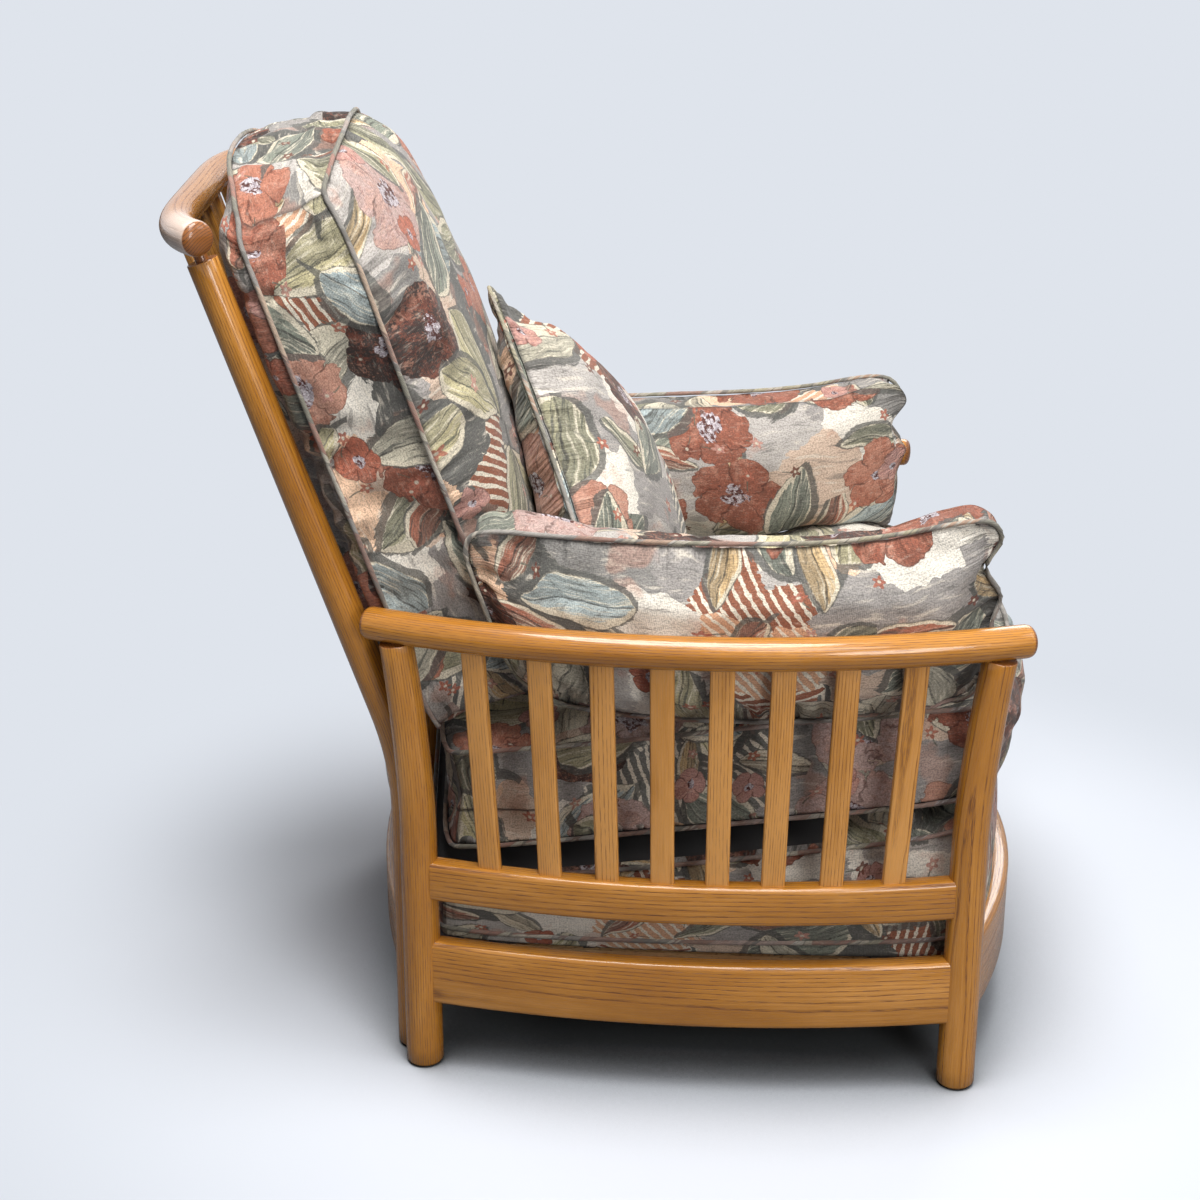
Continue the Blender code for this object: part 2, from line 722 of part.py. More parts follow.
def seat_half(y):
    """Half width of the seat at y."""
    share = max(-0.05, (y - FRONT_LEG_Y) / SEAT_DEPTH)
    return SEAT_FRONT_HALF + (SEAT_REAR_HALF - SEAT_FRONT_HALF) * share


def seat_plan(a, b, nose, extra):
    """Plan place on the seat: b = -1 at the bowed front edge, b = 1 at the back."""
    front = FRONT_LEG_Y - nose * (1 - 0.78 * a * a)
    rear = FRONT_LEG_Y + SEAT_DEPTH + extra
    y = front + (rear - front) * (b + 1) / 2
    return a * seat_half(y), y


def seat_cushion(a, b, c, grow=0.0):
    """Seat cushion: boxed, crowned on top, its nose rolled and its borders drawn in."""
    x, y = seat_plan(a, b, SEAT_NOSE, 0.0)
    waist = 1 - c * c
    x += rim(a) * (grow - 0.006 * waist)
    z = seat_low(y) + SOFT_GAP + SEAT_BORDER * (c + 1) / 2
    if b < -0.99:
        y += SEAT_NOSE_BACK * max(0.0, c) + 0.012 * max(0.0, -c) - grow
        z -= SEAT_NOSE_DROP * max(0.0, c)
    if b > 0.99:
        y += grow - 0.006 * waist
    if c > 0.99:
        z += SEAT_CROWN * dome(a, b)
    return Vector((x, y, z + c * grow))


def seat_base(low):
    """Upholstered base between the rails, its front roll over the front rail."""

    def place(a, b, c):
        nose = FRONT_RAIL_SAG + RAIL_THICK / 2 - BASE_FRONT_OVERHANG
        x, y = seat_plan(a, b, nose, SEAT_POST_CLEAR - BASE_POST_CLEAR)
        along = min(1.0, max(0.0, (y - FRONT_LEG_Y) / SEAT_DEPTH))
        x += rim(a) * BASE_SIDE_BULGE * 4 * along * (1 - along) * (1 - 0.5 * c * c)
        if b < -0.99:
            y += 0.012 * c * c
        high = seat_low(y) - BASE_SIDE_DROP * max(0.0, (3 * abs(a) - 1) / 2) ** 2
        return Vector((x, y, low + (high - low) * (c + 1) / 2))

    return place


def back_place(a, b, c, grow=0.0):
    """Back cushion: boxed, crowned in front and on top, leaning on the back slats."""
    lean = math.atan(POST_RAKE)
    rise = Vector((0, math.sin(lean), math.cos(lean)))
    ahead = Vector((0, -math.cos(lean), math.sin(lean)))
    half = BACK_HALF - 0.014 * max(0.0, -b) ** 2 - (BACK_HALF - BACK_TOP_HALF) * max(0.0, b) ** 3
    low_z = seat_low(POST_Y) + SEAT_BORDER + BACK_ABOVE_SEAT
    length = (TOP_RAIL_Z + BACK_ABOVE_RAIL - low_z) / math.cos(lean)
    foot = Vector((0, POST_Y + POST_RAKE * (low_z - POST_BEND_Z), low_z))
    start = foot + ahead * (POST_TOP_R + BACK_LEAN_GAP)
    waist = 1 - c * c
    along = (length - 0.009 * (c + 1)) * (b + 1) / 2
    out = BACK_BORDER * (c + 1) / 2
    x = a * half + rim(a) * (grow - 0.008 * waist)
    if rim(b):
        along += rim(b) * (grow - 0.006 * waist)
        if b > 0:
            along += BACK_TOP_CROWN * (1 - a * a) * (0.55 + 0.45 * waist)
        else:
            along -= BACK_BOTTOM_CROWN * (1 - a * a) * (0.40 + 0.60 * waist)
    swell = (1 - a * a) ** 0.5 * max(0.0, 1 - 0.94 * abs(b) ** (3.4 if b > 0 else 2)) ** 0.5
    if c > 0.99:
        out += BACK_FRONT_CROWN * swell + grow
    if c < -0.99:
        out -= BACK_REAR_CROWN * swell + grow
    corner = abs(a) ** 5 * max(0.0, b) ** 5 * (c + 1) / 2 * (1.0 if a < 0 else BACK_FAR_CORNER)
    along -= BACK_CORNER_DROP * corner
    out -= BACK_CORNER_DRAW * corner
    return Vector((x, 0, 0)) + start + rise * along + ahead * out


def arm_pad(side, grow=0.0):
    """Arm cushion: a long pillow standing inside the arm on the seat, pinched at its front."""

    def place(a, b, c):
        front = max(0.0, -a) ** 3
        rear = max(0.0, a) ** 3
        first = ARM_PAD_FRONT
        last = ARM_PAD_REAR + 0.034 * (b - 1)
        u = first + (last - first) * (a + 1) / 2
        waist = 1 - c * c
        if a < -0.99:
            u += ARM_PAD_PINCH * (1 - min(1.0, abs(b - ARM_PAD_PINCH_AT) * 3)) + 0.010 * (b < -0.01)
        low = ARM_PAD_LOW_Z + 0.020 * front + 0.022 * rear
        top = ARM_PAD_TOP_Z + ARM_PAD_FRONT_LIFT * front + ARM_PAD_REAR_LIFT * rear
        z = low + (top - low) * (b + 1) / 2
        if b > 0.99:
            z += 0.004 * waist + ARM_PAD_CREST * (1 - c) / 2
        turn = max(0.0, 1 - u / ARM_PAD_TURN_LENGTH)
        v = ARM_PAD_MIDDLE - ARM_PAD_TURN_IN * turn * turn + c * ARM_PAD_EDGE / 2
        puff = (1 - abs(a) ** 4) * max(0.0, 1 - b * b) ** 0.5
        if c > 0.99:
            v += puff * max(0.0, arm_rail_offset(u) - ARM_RAIL_R - SOFT_GAP * 2 - v)
        if c < -0.99:
            v -= puff * ARM_PAD_CROWN
        return arm_to_chair(side, u + a * grow, v + c * grow, z + b * grow)

    return place


def scatter_place(a, b, c):
    """Scatter cushion: square with pointed corners, on a corner against the back cushion."""
    facing = Vector(
        (
            math.sin(SCATTER_TURN) * math.cos(SCATTER_LEAN),
            -math.cos(SCATTER_TURN) * math.cos(SCATTER_LEAN),
            math.sin(SCATTER_LEAN),
        )
    )
    level = Vector((math.cos(SCATTER_TURN), math.sin(SCATTER_TURN), 0.0))
    steep = level.cross(-facing)
    if steep.z < 0:
        steep = -steep
    across = level * math.cos(SCATTER_ROLL) - steep * math.sin(SCATTER_ROLL)
    rise = steep * math.cos(SCATTER_ROLL) + level * math.sin(SCATTER_ROLL)
    half = SCATTER_SIDE / 2
    waist_a = 1 - 0.08 * (1 - b * b)
    waist_b = 1 - 0.08 * (1 - a * a)
    thick = 0.006 + SCATTER_CROWN * dome(a, b, 0.5)
    return (
        Vector((0.0, POST_Y - SCATTER_AHEAD, SCATTER_RISE))
        + across * a * half * waist_a
        + rise * b * half * waist_b
        + facing * c * thick
    )


def soft_pieces(front_room, arm_rails, base_low):
    """The base and the five loose cushions, each cut clear of what it presses on."""
    base = soft_block("seat_base", seat_base(base_low), PIECES, TAPESTRY, crease=0.8, corner=0.8)
    cut(base, front_room)
    seat = soft_block("seat_cushion", seat_cushion, PIECES, TAPESTRY)
    seat_room = soft_block("seat_room", lambda a, b, c: seat_cushion(a, b, c, SOFT_GAP), CUTTERS)
    back = soft_block("back_cushion", back_place, PIECES, TAPESTRY)
    cut(back, seat_room)
    back_room = soft_block("back_room", lambda a, b, c: back_place(a, b, c, SOFT_GAP), CUTTERS)
    scatter = soft_block("scatter_cushion", scatter_place, PIECES, TAPESTRY, crease=0.9, corner=0.5)
    cut(scatter, seat_room)
    cut(scatter, back_room)
    for side, word in SIDES:
        pad = soft_block("arm_cushion_" + word, arm_pad(side), PIECES, TAPESTRY)
        cut(pad, arm_rails[word])
        cut(pad, seat_room)
        cut(pad, back_room)
        cut(scatter, soft_block("arm_cushion_room_" + word, arm_pad(side, SOFT_GAP), CUTTERS))
    return seat


def rail_room(side, word, frame):
    """The room that an arm cushion leaves round the arm rail."""
    steps = 14
    first = -ARM_RAIL_FRONT_REACH - SOFT_GAP
    last = ARM_LENGTH + ARM_RAIL_REAR_REACH + SOFT_GAP
    path = []
    for i in range(steps + 1):
        u = first + (last - first) * i / steps
        path.append(Vector((side * arm_rail_offset(u), u, ARM_RAIL_Z)))
    return rod("arm_rail_room_" + word, path, [ARM_RAIL_R + SOFT_GAP * 2] * len(path), CUTTERS, frame)


# Lengths and places that follow from the sizes above
ARM_LENGTH = math.hypot(FRONT_LEG_X - REAR_LEG_X, REAR_LEG_Y - FRONT_LEG_Y)
TOE = math.atan2(FRONT_LEG_X - REAR_LEG_X, REAR_LEG_Y - FRONT_LEG_Y)
POST_Y = REAR_LEG_Y + POST_SET_BACK
POST_X = REAR_LEG_X - math.sqrt((LEG_FOOT_R + POST_FOOT_R + GAP) ** 2 - POST_SET_BACK ** 2)
SEAT_DEPTH = POST_Y - POST_FOOT_R - SEAT_POST_CLEAR - FRONT_LEG_Y
SEAT_FRONT_HALF = FRONT_LEG_X - LEG_FOOT_R - SEAT_FRONT_CLEAR
SEAT_REAR_HALF = REAR_LEG_X - LEG_FOOT_R - SEAT_REAR_CLEAR

clear_scene()
PIECES = collection("easy_chair")
CUTTERS = collection("cutters")
ASH = finish("golden_ash", (0.50, 0.235, 0.068), 0.38)
BEECH = finish("plain_beech", (0.55, 0.36, 0.19), 0.60)
WEBBING = finish("black_webbing", (0.035, 0.034, 0.033), 0.80)
STEEL = finish("zinc_plated_steel", (0.55, 0.55, 0.54), 0.35, 1.0)
TAPESTRY = finish("floral_tapestry", (0.36, 0.32, 0.27), 0.92)

CHAIR = bpy.data.objects.new("easy_chair_frame", None)
PIECES.objects.link(CHAIR)

rear_legs = {}
rail_rooms = {}
for side_sign, side_word in SIDES:
    side_frame, _, side_legs = arm_frame(side_sign, side_word)
    rear_legs[side_word] = side_legs[1]
    rail_rooms[side_word] = rail_room(side_sign, side_word, side_frame)
back_posts = dict(zip((word for _, word in SIDES), back_frame()))
post_bolts(back_posts, rear_legs)
front_rail_room = front_rail()
webbing_top = seat_frame()
soft_pieces(front_rail_room, rail_rooms, webbing_top)
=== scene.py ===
"""Looks of a golden ash easy chair with loose tapestry cushions."""

import math
from functools import partialmethod

import bmesh
import bpy
from mathutils import Matrix, Vector, noise
from mathutils.bvhtree import BVHTree

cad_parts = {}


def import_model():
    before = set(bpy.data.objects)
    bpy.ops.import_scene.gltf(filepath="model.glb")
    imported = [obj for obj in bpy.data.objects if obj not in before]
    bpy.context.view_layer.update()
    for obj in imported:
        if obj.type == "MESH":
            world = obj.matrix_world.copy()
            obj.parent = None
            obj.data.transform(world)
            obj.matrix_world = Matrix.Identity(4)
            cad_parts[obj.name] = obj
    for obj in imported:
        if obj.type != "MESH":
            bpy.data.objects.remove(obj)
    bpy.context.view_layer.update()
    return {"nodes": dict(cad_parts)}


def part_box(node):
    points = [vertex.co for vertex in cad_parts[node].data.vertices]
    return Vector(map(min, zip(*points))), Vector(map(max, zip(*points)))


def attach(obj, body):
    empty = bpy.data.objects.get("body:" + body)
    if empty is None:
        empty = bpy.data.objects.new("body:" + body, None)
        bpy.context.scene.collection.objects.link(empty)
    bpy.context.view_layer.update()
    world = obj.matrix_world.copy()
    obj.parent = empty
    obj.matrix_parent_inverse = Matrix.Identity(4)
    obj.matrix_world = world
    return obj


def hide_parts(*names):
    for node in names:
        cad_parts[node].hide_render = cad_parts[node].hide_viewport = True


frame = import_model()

UP = Vector((0.0, 0.0, 1.0))
SIDES = ((-1, "right"), (1, "left"))

# The frame's sizes, as in the part's source
FRONT_LEG_X, REAR_LEG_X = 0.357, 0.283
FRONT_LEG_Y, REAR_LEG_Y = -0.3694, 0.2296
LEG_FOOT_R, LEG_TOP_R = 0.0212, 0.0184
POST_FOOT_R, POST_TOP_R = 0.0208, 0.0165
ARM_RAIL_R, TOP_RAIL_R, TENON_R = 0.018, 0.017, 0.007
ARM_RAIL_Z, ARM_REACH, ARM_SAG, ARM_TUCK = 0.5325, 0.053, 0.066, 0.0075
TOP_RAIL_Z, TOP_RAIL_HALF = 0.9453, 0.279
POST_BEND_Z, POST_BEND_REACH, POST_RAKE = 0.359, 0.062, 0.342
RAIL_THICK, RAIL_ROUND = 0.025, 0.006
SLAT_WIDTH, SLAT_THICK, SLAT_ROUND = 0.026, 0.010, 0.003
LEG_TURN_Z = 0.30  # where the legs begin to lean out
ARM_LENGTH = math.hypot(FRONT_LEG_X - REAR_LEG_X, REAR_LEG_Y - FRONT_LEG_Y)
TOE = math.atan2(FRONT_LEG_X - REAR_LEG_X, REAR_LEG_Y - FRONT_LEG_Y)
POST_Y = 0.2411
POST_X = 0.2423
SEAT_DEPTH = 0.572
LEAN = math.atan(POST_RAKE)
RISE = Vector((0, math.sin(LEAN), math.cos(LEAN)))
AHEAD = Vector((0, -math.cos(LEAN), math.sin(LEAN)))
BACK_LOW_Z = 0.3749
BACK_LENGTH = (TOP_RAIL_Z + 0.026 - BACK_LOW_Z) / math.cos(LEAN)
BACK_FOOT = Vector((0, POST_Y + POST_RAKE * (BACK_LOW_Z - POST_BEND_Z), BACK_LOW_Z))
PIPING_R = 0.0027
BASE_LOW, BASE_SIDE_DROP = 0.1401, 0.040
SEAT_THICK, BACK_THICK, BACK_STANDOFF = 0.112, 0.098, 0.0515
SCATTER_MIDDLE, SCATTER_HALF = Vector((0.0, POST_Y - 0.2185, 0.612)), 0.186
SIDE_SLATS, BACK_SLATS, BACK_SLAT_STEP = 8, 6, 0.0692
RAIL_INSET = 0.0165  # from a leg's middle to the end of a rail coped round it
SLAT_LET_IN, SLAT_STOP = 0.006, 0.005  # into the board below; above a round rail's underside
LOW_RAIL, MIDDLE_RAIL, BACK_MID_RAIL = (0.081, 0.0775), (0.2115, 0.046), (0.285, 0.045)  # bottom and height
FRONT_RAIL_Z, FRONT_RAIL_HEIGHT, FRONT_RAIL_SAG = 0.128, 0.094, 0.1025
MIDDLE_RAIL_SAG, BACK_MID_RAIL_SAG = 0.038, 0.026
TOP_RAIL_EXTRA = 0.0015  # thicker than in the source, to match the photograph
CLOTH_GAP = 0.0012

# Each cover's cloth: its width, its height and its depth
BASE_CLOTH, SEAT_CLOTH, BACK_CLOTH = (0.64, 0.68, 0.17), (0.64, 0.69, 0.13), (0.56, 0.68, 0.12)
SCATTER_CLOTH, ARM_CLOTH = (0.372, 0.372, 0.01), (0.60, 0.24, 0.05)
CLOTH_WEIGHT = {
    "quality": 5,
    "mass": 0.25,
    "tension_stiffness": 14,
    "compression_stiffness": 14,
    "shear_stiffness": 6,
    "bending_stiffness": 0.6,
    "air_damping": 2.0,
    "use_pressure": True,
    "vertex_group_mass": "held",
    "pin_stiffness": 1.0,
}


def plus(value):
    """The value, or nothing where it is less than nothing."""
    return max(0.0, value)


def within(value):
    """The value, kept between 0 and 1."""
    return min(1.0, max(0.0, value))


# Shader sums


class Wire:
    """A socket of a finish, so that sums on it read as sums."""

    def __init__(self, finish, socket):
        self.finish = finish
        self.socket = socket

    def sum(self, operation, *others):
        inputs = {i: value for i, value in enumerate((self,) + others)}
        return self.finish.add("Math", {"operation": operation}, inputs)

    def __rsub__(self, other):
        return self.finish.add("Math", {"operation": "SUBTRACT"}, {0: other, 1: self})

    __add__ = __radd__ = partialmethod(sum, "ADD")
    __sub__ = partialmethod(sum, "SUBTRACT")
    __mul__ = __rmul__ = partialmethod(sum, "MULTIPLY")
    __truediv__ = partialmethod(sum, "DIVIDE")
    __pow__ = partialmethod(sum, "POWER")
    __abs__ = partialmethod(sum, "ABSOLUTE")
    over = partialmethod(sum, "GREATER_THAN")
    part = partialmethod(sum, "FRACT")
    most = partialmethod(sum, "MAXIMUM")
    least = partialmethod(sum, "MINIMUM")

    def ease(self, low, high, start=0.0, stop=1.0):
        """Goes softly from start to stop as the value goes from low to high."""
        inputs = {0: self, 1: low, 2: high, 3: start, 4: stop}
        return self.finish.add("MapRange", {"interpolation_type": "SMOOTHSTEP"}, inputs)


class Finish:
    """A material, or a world, built from nodes."""

    def __init__(self, name, kind="materials"):
        self.made = getattr(bpy.data, kind).new(name)
        self.made.use_nodes = True
        self.tree = self.made.node_tree
        self.tree.nodes.clear()

    def add(self, kind, settings=None, inputs=None, output=0):
        """Adds a node, its settings first, then its values or links."""
        node = self.tree.nodes.new("ShaderNode" + kind)
        for key, value in (settings or {}).items():
            if key == "stops":
                ramp = node.color_ramp
                while len(ramp.elements) < len(value):
                    ramp.elements.new(0.5)
                for stop, (place, colour) in zip(ramp.elements, value):
                    stop.position = place
                    stop.color = (*colour, 1.0)
            else:
                setattr(node, key, value)
        for key, value in (inputs or {}).items():
            if isinstance(value, Wire):
                self.tree.links.new(value.socket, node.inputs[key])
            else:
                node.inputs[key].default_value = value
        self.last = node
        return Wire(self, node.outputs[output]) if node.outputs else None

    def other(self, output):
        """Another output of the node that was added last."""
        return Wire(self, self.last.outputs[output])

    def kept(self, name, output=2):
        """What the mesh keeps at its points: a number, or a vector from output 1."""
        return self.add("Attribute", {"attribute_name": name}, None, output)

    def place(self):
        """The place on the finished piece, in metres."""
        return self.add("TexCoord", None, None, 3)

    def split(self, vector):
        x = self.add("SeparateXYZ", None, {0: vector})
        return x, self.other(1), self.other(2)

    def join(self, x, y, z=0.0):
        return self.add("CombineXYZ", None, {0: x, 1: y, 2: z})

    def vector(self, operation, *values):
        return self.add("VectorMath", {"operation": operation}, dict(enumerate(values)))

    def noise(self, place, scale, detail=2.0, rough=0.5, dimensions="3D", output=0):
        inputs = {"Vector": place, "Scale": scale, "Detail": detail, "Roughness": rough}
        return self.add("TexNoise", {"noise_dimensions": dimensions}, inputs, output)

    def stretched(self, ways, times, detail=2.0, rough=0.5):
        """Noise at a place, once each way of it is multiplied."""
        return self.noise(self.join(*(way * by for way, by in zip(ways, times))), 1.0, detail, rough)

    def mix(self, share, first, second):
        """Mixes two colours."""
        first, second = (v if isinstance(v, Wire) else (*v, 1.0) for v in (first, second))
        return self.add("Mix", {"data_type": "RGBA"}, {0: share, 6: first, 7: second}, 2)

    def coats(self, colour, *coats):
        """Lays coats over a colour, each given by its share and its colour."""
        for share, coat in coats:
            colour = self.mix(share, colour, coat)
        return colour

    def ramp(self, share, stops, interpolation="LINEAR"):
        wire = self.add("ValToRGB", {"stops": stops}, {0: share})
        self.last.color_ramp.interpolation = interpolation
        return wire

    def steps(self, share, colours):
        """Colours in even steps."""
        return self.ramp(share, [(i / len(colours), colour) for i, colour in enumerate(colours)], "CONSTANT")

    def bump(self, height, distance, strength=1.0, normal=None):
        inputs = {"Height": height, "Distance": distance, "Strength": strength}
        if normal:
            inputs["Normal"] = normal
        return self.add("Bump", None, inputs)

    def done(self, **inputs):
        """Ends the finish in one shader."""
        inputs = {key.replace("_", " "): value for key, value in inputs.items()}
        for key, value in inputs.items():
            if isinstance(value, tuple) and len(value) == 3:
                inputs[key] = (*value, 1.0)
        shader = self.add("BsdfPrincipled", None, inputs)
        self.add("OutputMaterial", None, {"Surface": shader})
        return self.made


def rgb(*colour):
    """A colour as it looks on paper, in the shader's own numbers."""
    return tuple(((c / 255 + 0.055) / 1.055) ** 2.4 if c > 10 else c / 255 / 12.92 for c in colour)


# Finishes of the frame


def golden_ash():
    """Lacquered ash: growth rings with open pores, set by where each point lay in its log."""
    f = Finish("golden_ash")
    log = f.split(f.kept("grain_at", 1))
    _, y, z = log
    end, faded, sapwood = f.kept("end_cut"), f.kept("faded"), f.kept("sapwood")
    slow = f.stretched(log, (1.8, 7.0, 7.0), 1.0)
    wander = f.stretched(log, (7.0, 34.0, 34.0))
    out = (y * y + z * z) ** 0.5 + (slow - 0.5) * 0.012 + (wander - 0.5) * 0.0022
    ring = (out / 0.0028).part()
    early = ring.ease(0.0, 0.08) * ring.ease(0.14, 0.36, 1.0, 0.0)
    dashes = f.stretched(log, (60.0, 1500.0, 1500.0), 1.0)
    pores = dashes.ease(0.45, 0.56) * (early * 0.86 + 0.14)
    fibre = f.stretched(log, (12.0, 640.0, 640.0), 3.0, 0.6)
    board = f.stretched(log, (4.0, 16.0, 16.0), 3.0, 0.6)
    # painted light: slats are painted lighter, with fainter pores (below), for the light they catch
    tone = early * 0.16 + (fibre - 0.5) * 0.55 + (board - 0.5) * 0.9 + 0.31 - sapwood * 0.28
    tones = (
        (0.0, rgb(210, 149, 76)),
        (0.30, rgb(178, 118, 40)),
        (0.62, rgb(148, 92, 27)),
        (1.0, rgb(106, 61, 16)),
    )
    colour = f.coats(
        f.ramp(tone, tones),
        (pores * (0.78 - sapwood * 0.2), rgb(94, 50, 14)),
        # painted highlight: a pale patch on the top rail's right bend, near its end
        (faded, f.mix(early * 0.4 + (fibre - 0.5), rgb(212, 192, 178), rgb(194, 166, 148))),
        (end.ease(0.25, 0.55), f.mix(early * 0.7 + pores * 0.3, rgb(140, 84, 34), rgb(72, 38, 14))),
    )
    rough = 0.24 + pores * 0.28 + (fibre - 0.5) * 0.14 + end * 0.12
    normal = f.bump(fibre * 0.35 - pores, 0.00022, 0.7)
    return f.done(
        Base_Color=colour,
        Roughness=rough,
        Normal=normal,
        Coat_Weight=0.50,
        Coat_Roughness=0.05,
        Specular_IOR_Level=0.34,
    )


def plain_beech():
    """Raw beech: pale, with short dark flecks."""
    f = Finish("plain_beech")
    ways = f.split(f.place())
    fleck = f.stretched(ways, (160.0, 160.0, 900.0)).ease(0.58, 0.70)
    cloud = f.stretched(ways, (12.0, 12.0, 90.0), 3.0)
    colour = f.mix(cloud.ease(0.3, 0.7), rgb(206, 168, 122), rgb(182, 138, 92))
    colour = f.mix(fleck * 0.55, colour, rgb(128, 86, 52))
    return f.done(Base_Color=colour, Roughness=0.55 + fleck * 0.2, Normal=f.bump(cloud - fleck, 0.0003, 0.6))


def black_webbing():
    """Woven elastic strap: ribs across it."""
    f = Finish("black_webbing")
    place = f.place()
    x, y, _ = f.split(place)
    rib = ((x * 1800.0).sum("SINE") * (y * 2600.0).sum("SINE")) * 0.5 + 0.5
    worn = f.noise(place, 40.0, 3.0)
    colour = f.mix(rib * 0.6 + worn * 0.4, rgb(34, 33, 34), rgb(66, 63, 62))
    return f.done(Base_Color=colour, Roughness=0.75 + worn * 0.2, Normal=f.bump(rib, 0.0006, 0.8))


def zinc_plated_steel():
    """Bright zinc with a faint cloudy bloom."""
    f = Finish("zinc_plated_steel")
    bloom = f.noise(f.place(), 300.0, 3.0)
    colour = f.mix(bloom, rgb(176, 180, 184), rgb(214, 214, 208))
    return f.done(Base_Color=colour, Metallic=1.0, Roughness=0.24 + bloom * 0.25)


# The tapestry


TURN = 6.283
STRIPE, THREAD_UP, THREAD_ALONG = 0.0122, 0.0017, 0.0022
PATCHES = (
    (0.0, rgb(154, 149, 145)),
    (0.26, rgb(226, 219, 207)),
    (0.42, rgb(136, 133, 129)),
    (0.56, rgb(206, 182, 162)),
    (0.66, rgb(182, 176, 170)),
    (0.80, rgb(228, 192, 162)),
    (0.88, rgb(96, 95, 91)),
)
STRIPED = ((0.0, rgb(112, 111, 106)), (0.35, rgb(206, 160, 128)), (0.55, rgb(134, 132, 126)), (0.75, rgb(146, 92, 70)))
BERRIES = ((0.0, rgb(110, 62, 50)), (0.35, rgb(170, 100, 80)), (0.75, rgb(188, 138, 124)))
GREENS = (160, 156, 128), (172, 184, 184), (198, 188, 148), (134, 139, 126), (210, 202, 180)
WARMS = (202, 172, 128), (206, 192, 168), (166, 108, 88), (148, 146, 124)
REDS = (180, 119, 97), (92, 58, 48), (190, 142, 122), (94, 57, 45), (160, 98, 78), (196, 168, 160)


def sown(f, place, cell, jitter, shift, true_place=None):
    """Motifs sown over the cloth: a point's own place in its motif, and two random shares."""
    moved = f.vector("ADD", place, (shift, shift * 0.37, 0.0))
    settings = {"voronoi_dimensions": "2D", "feature": "F1"}
    f.add("TexVoronoi", settings, {"Vector": moved, "Scale": 1 / cell, "Randomness": jitter})
    middle = f.other("Position")
    one, two, three = f.split(f.other("Color"))
    if true_place:
        moved = f.vector("ADD", true_place, (shift, shift * 0.37, 0.0))
    inputs = {"Vector": f.vector("SUBTRACT", moved, middle), "Angle": one * TURN}
    return f.add("VectorRotate", {"rotation_type": "Z_AXIS"}, inputs), two, three


def brush(f, local, along, across, number):
    """Streaks of a loaded brush along a motif."""
    x, y, _ = f.split(local)
    return f.stretched((x, y, number), (along, across, 37.0), 3.0, 0.65)


def leaf(f, cloth, place, cell, half, width, shift, bodies, share):
    """Painted leaves: two tones parted by a midrib, one broad pale edge, a slate stroke round them."""
    local, two, three = sown(f, place, cell, 0.55, shift)
    x, y, _ = f.split(local)
    bend = y + x * x * (4.5 * (0.06 / half)) * (three - 0.5)
    along = (x / half).least(1.0).most(-1.0)
    ragged = brush(f, local, 70.0, 70.0, three)
    streak = brush(f, local, 16.0, 250.0, three)
    room = width * (1.0 - along * along) ** 0.68 * (1.0 - along * 0.30) + (ragged - 0.5) * width * 0.15
    inside = room - abs(bend) - (x - half).most(0.0) * 0.8 - (0.0 - half - x).most(0.0) * 0.15
    on = two.ease(1.0 - share - 0.01, 1.0 - share)
    side = bend.ease(-0.003, 0.003)
    halo = (inside + width * (0.05 + side * 0.26) + (streak - 0.5) * width * 0.5).ease(-0.0006, 0.0010)
    fleck = brush(f, local, 240.0, 420.0, two)
    vein = ((x - abs(bend) * 1.2) * (1.7 / half)).part()
    vein = (abs(vein - 0.5) * 2.0).ease(0.74, 0.97)
    band = width * (0.05 + (1.0 - side) * 0.24) + (streak - 0.5) * width * 0.55
    pale = f.mix(fleck.ease(0.4, 0.65) * 0.40, rgb(222, 212, 190), rgb(172, 162, 142))
    body = f.coats(
        f.steps(three, bodies),
        (side * 0.45, rgb(92, 94, 88)),
        (streak.ease(0.52, 0.68) * 0.80, rgb(222, 213, 192)),
        (streak.ease(0.46, 0.34) * 0.80, rgb(80, 81, 76)),
        (vein * fleck.ease(0.4, 0.6) * 0.45, rgb(72, 70, 66)),
        (abs(bend).ease(0.0005, 0.0016, 0.75, 0.0) * fleck.ease(0.3, 0.5), rgb(58, 57, 54)),
        ((inside - band).ease(-0.0006, 0.0008, 0.95, 0.0), pale),
        (inside.ease(0.0006, 0.0016, 0.75, 0.0) * fleck.ease(0.30, 0.50), rgb(62, 60, 58)),
    )
    return f.coats(cloth, (halo * on * 0.85, rgb(88, 88, 84)), (inside.ease(-0.0005, 0.0006) * on, body))


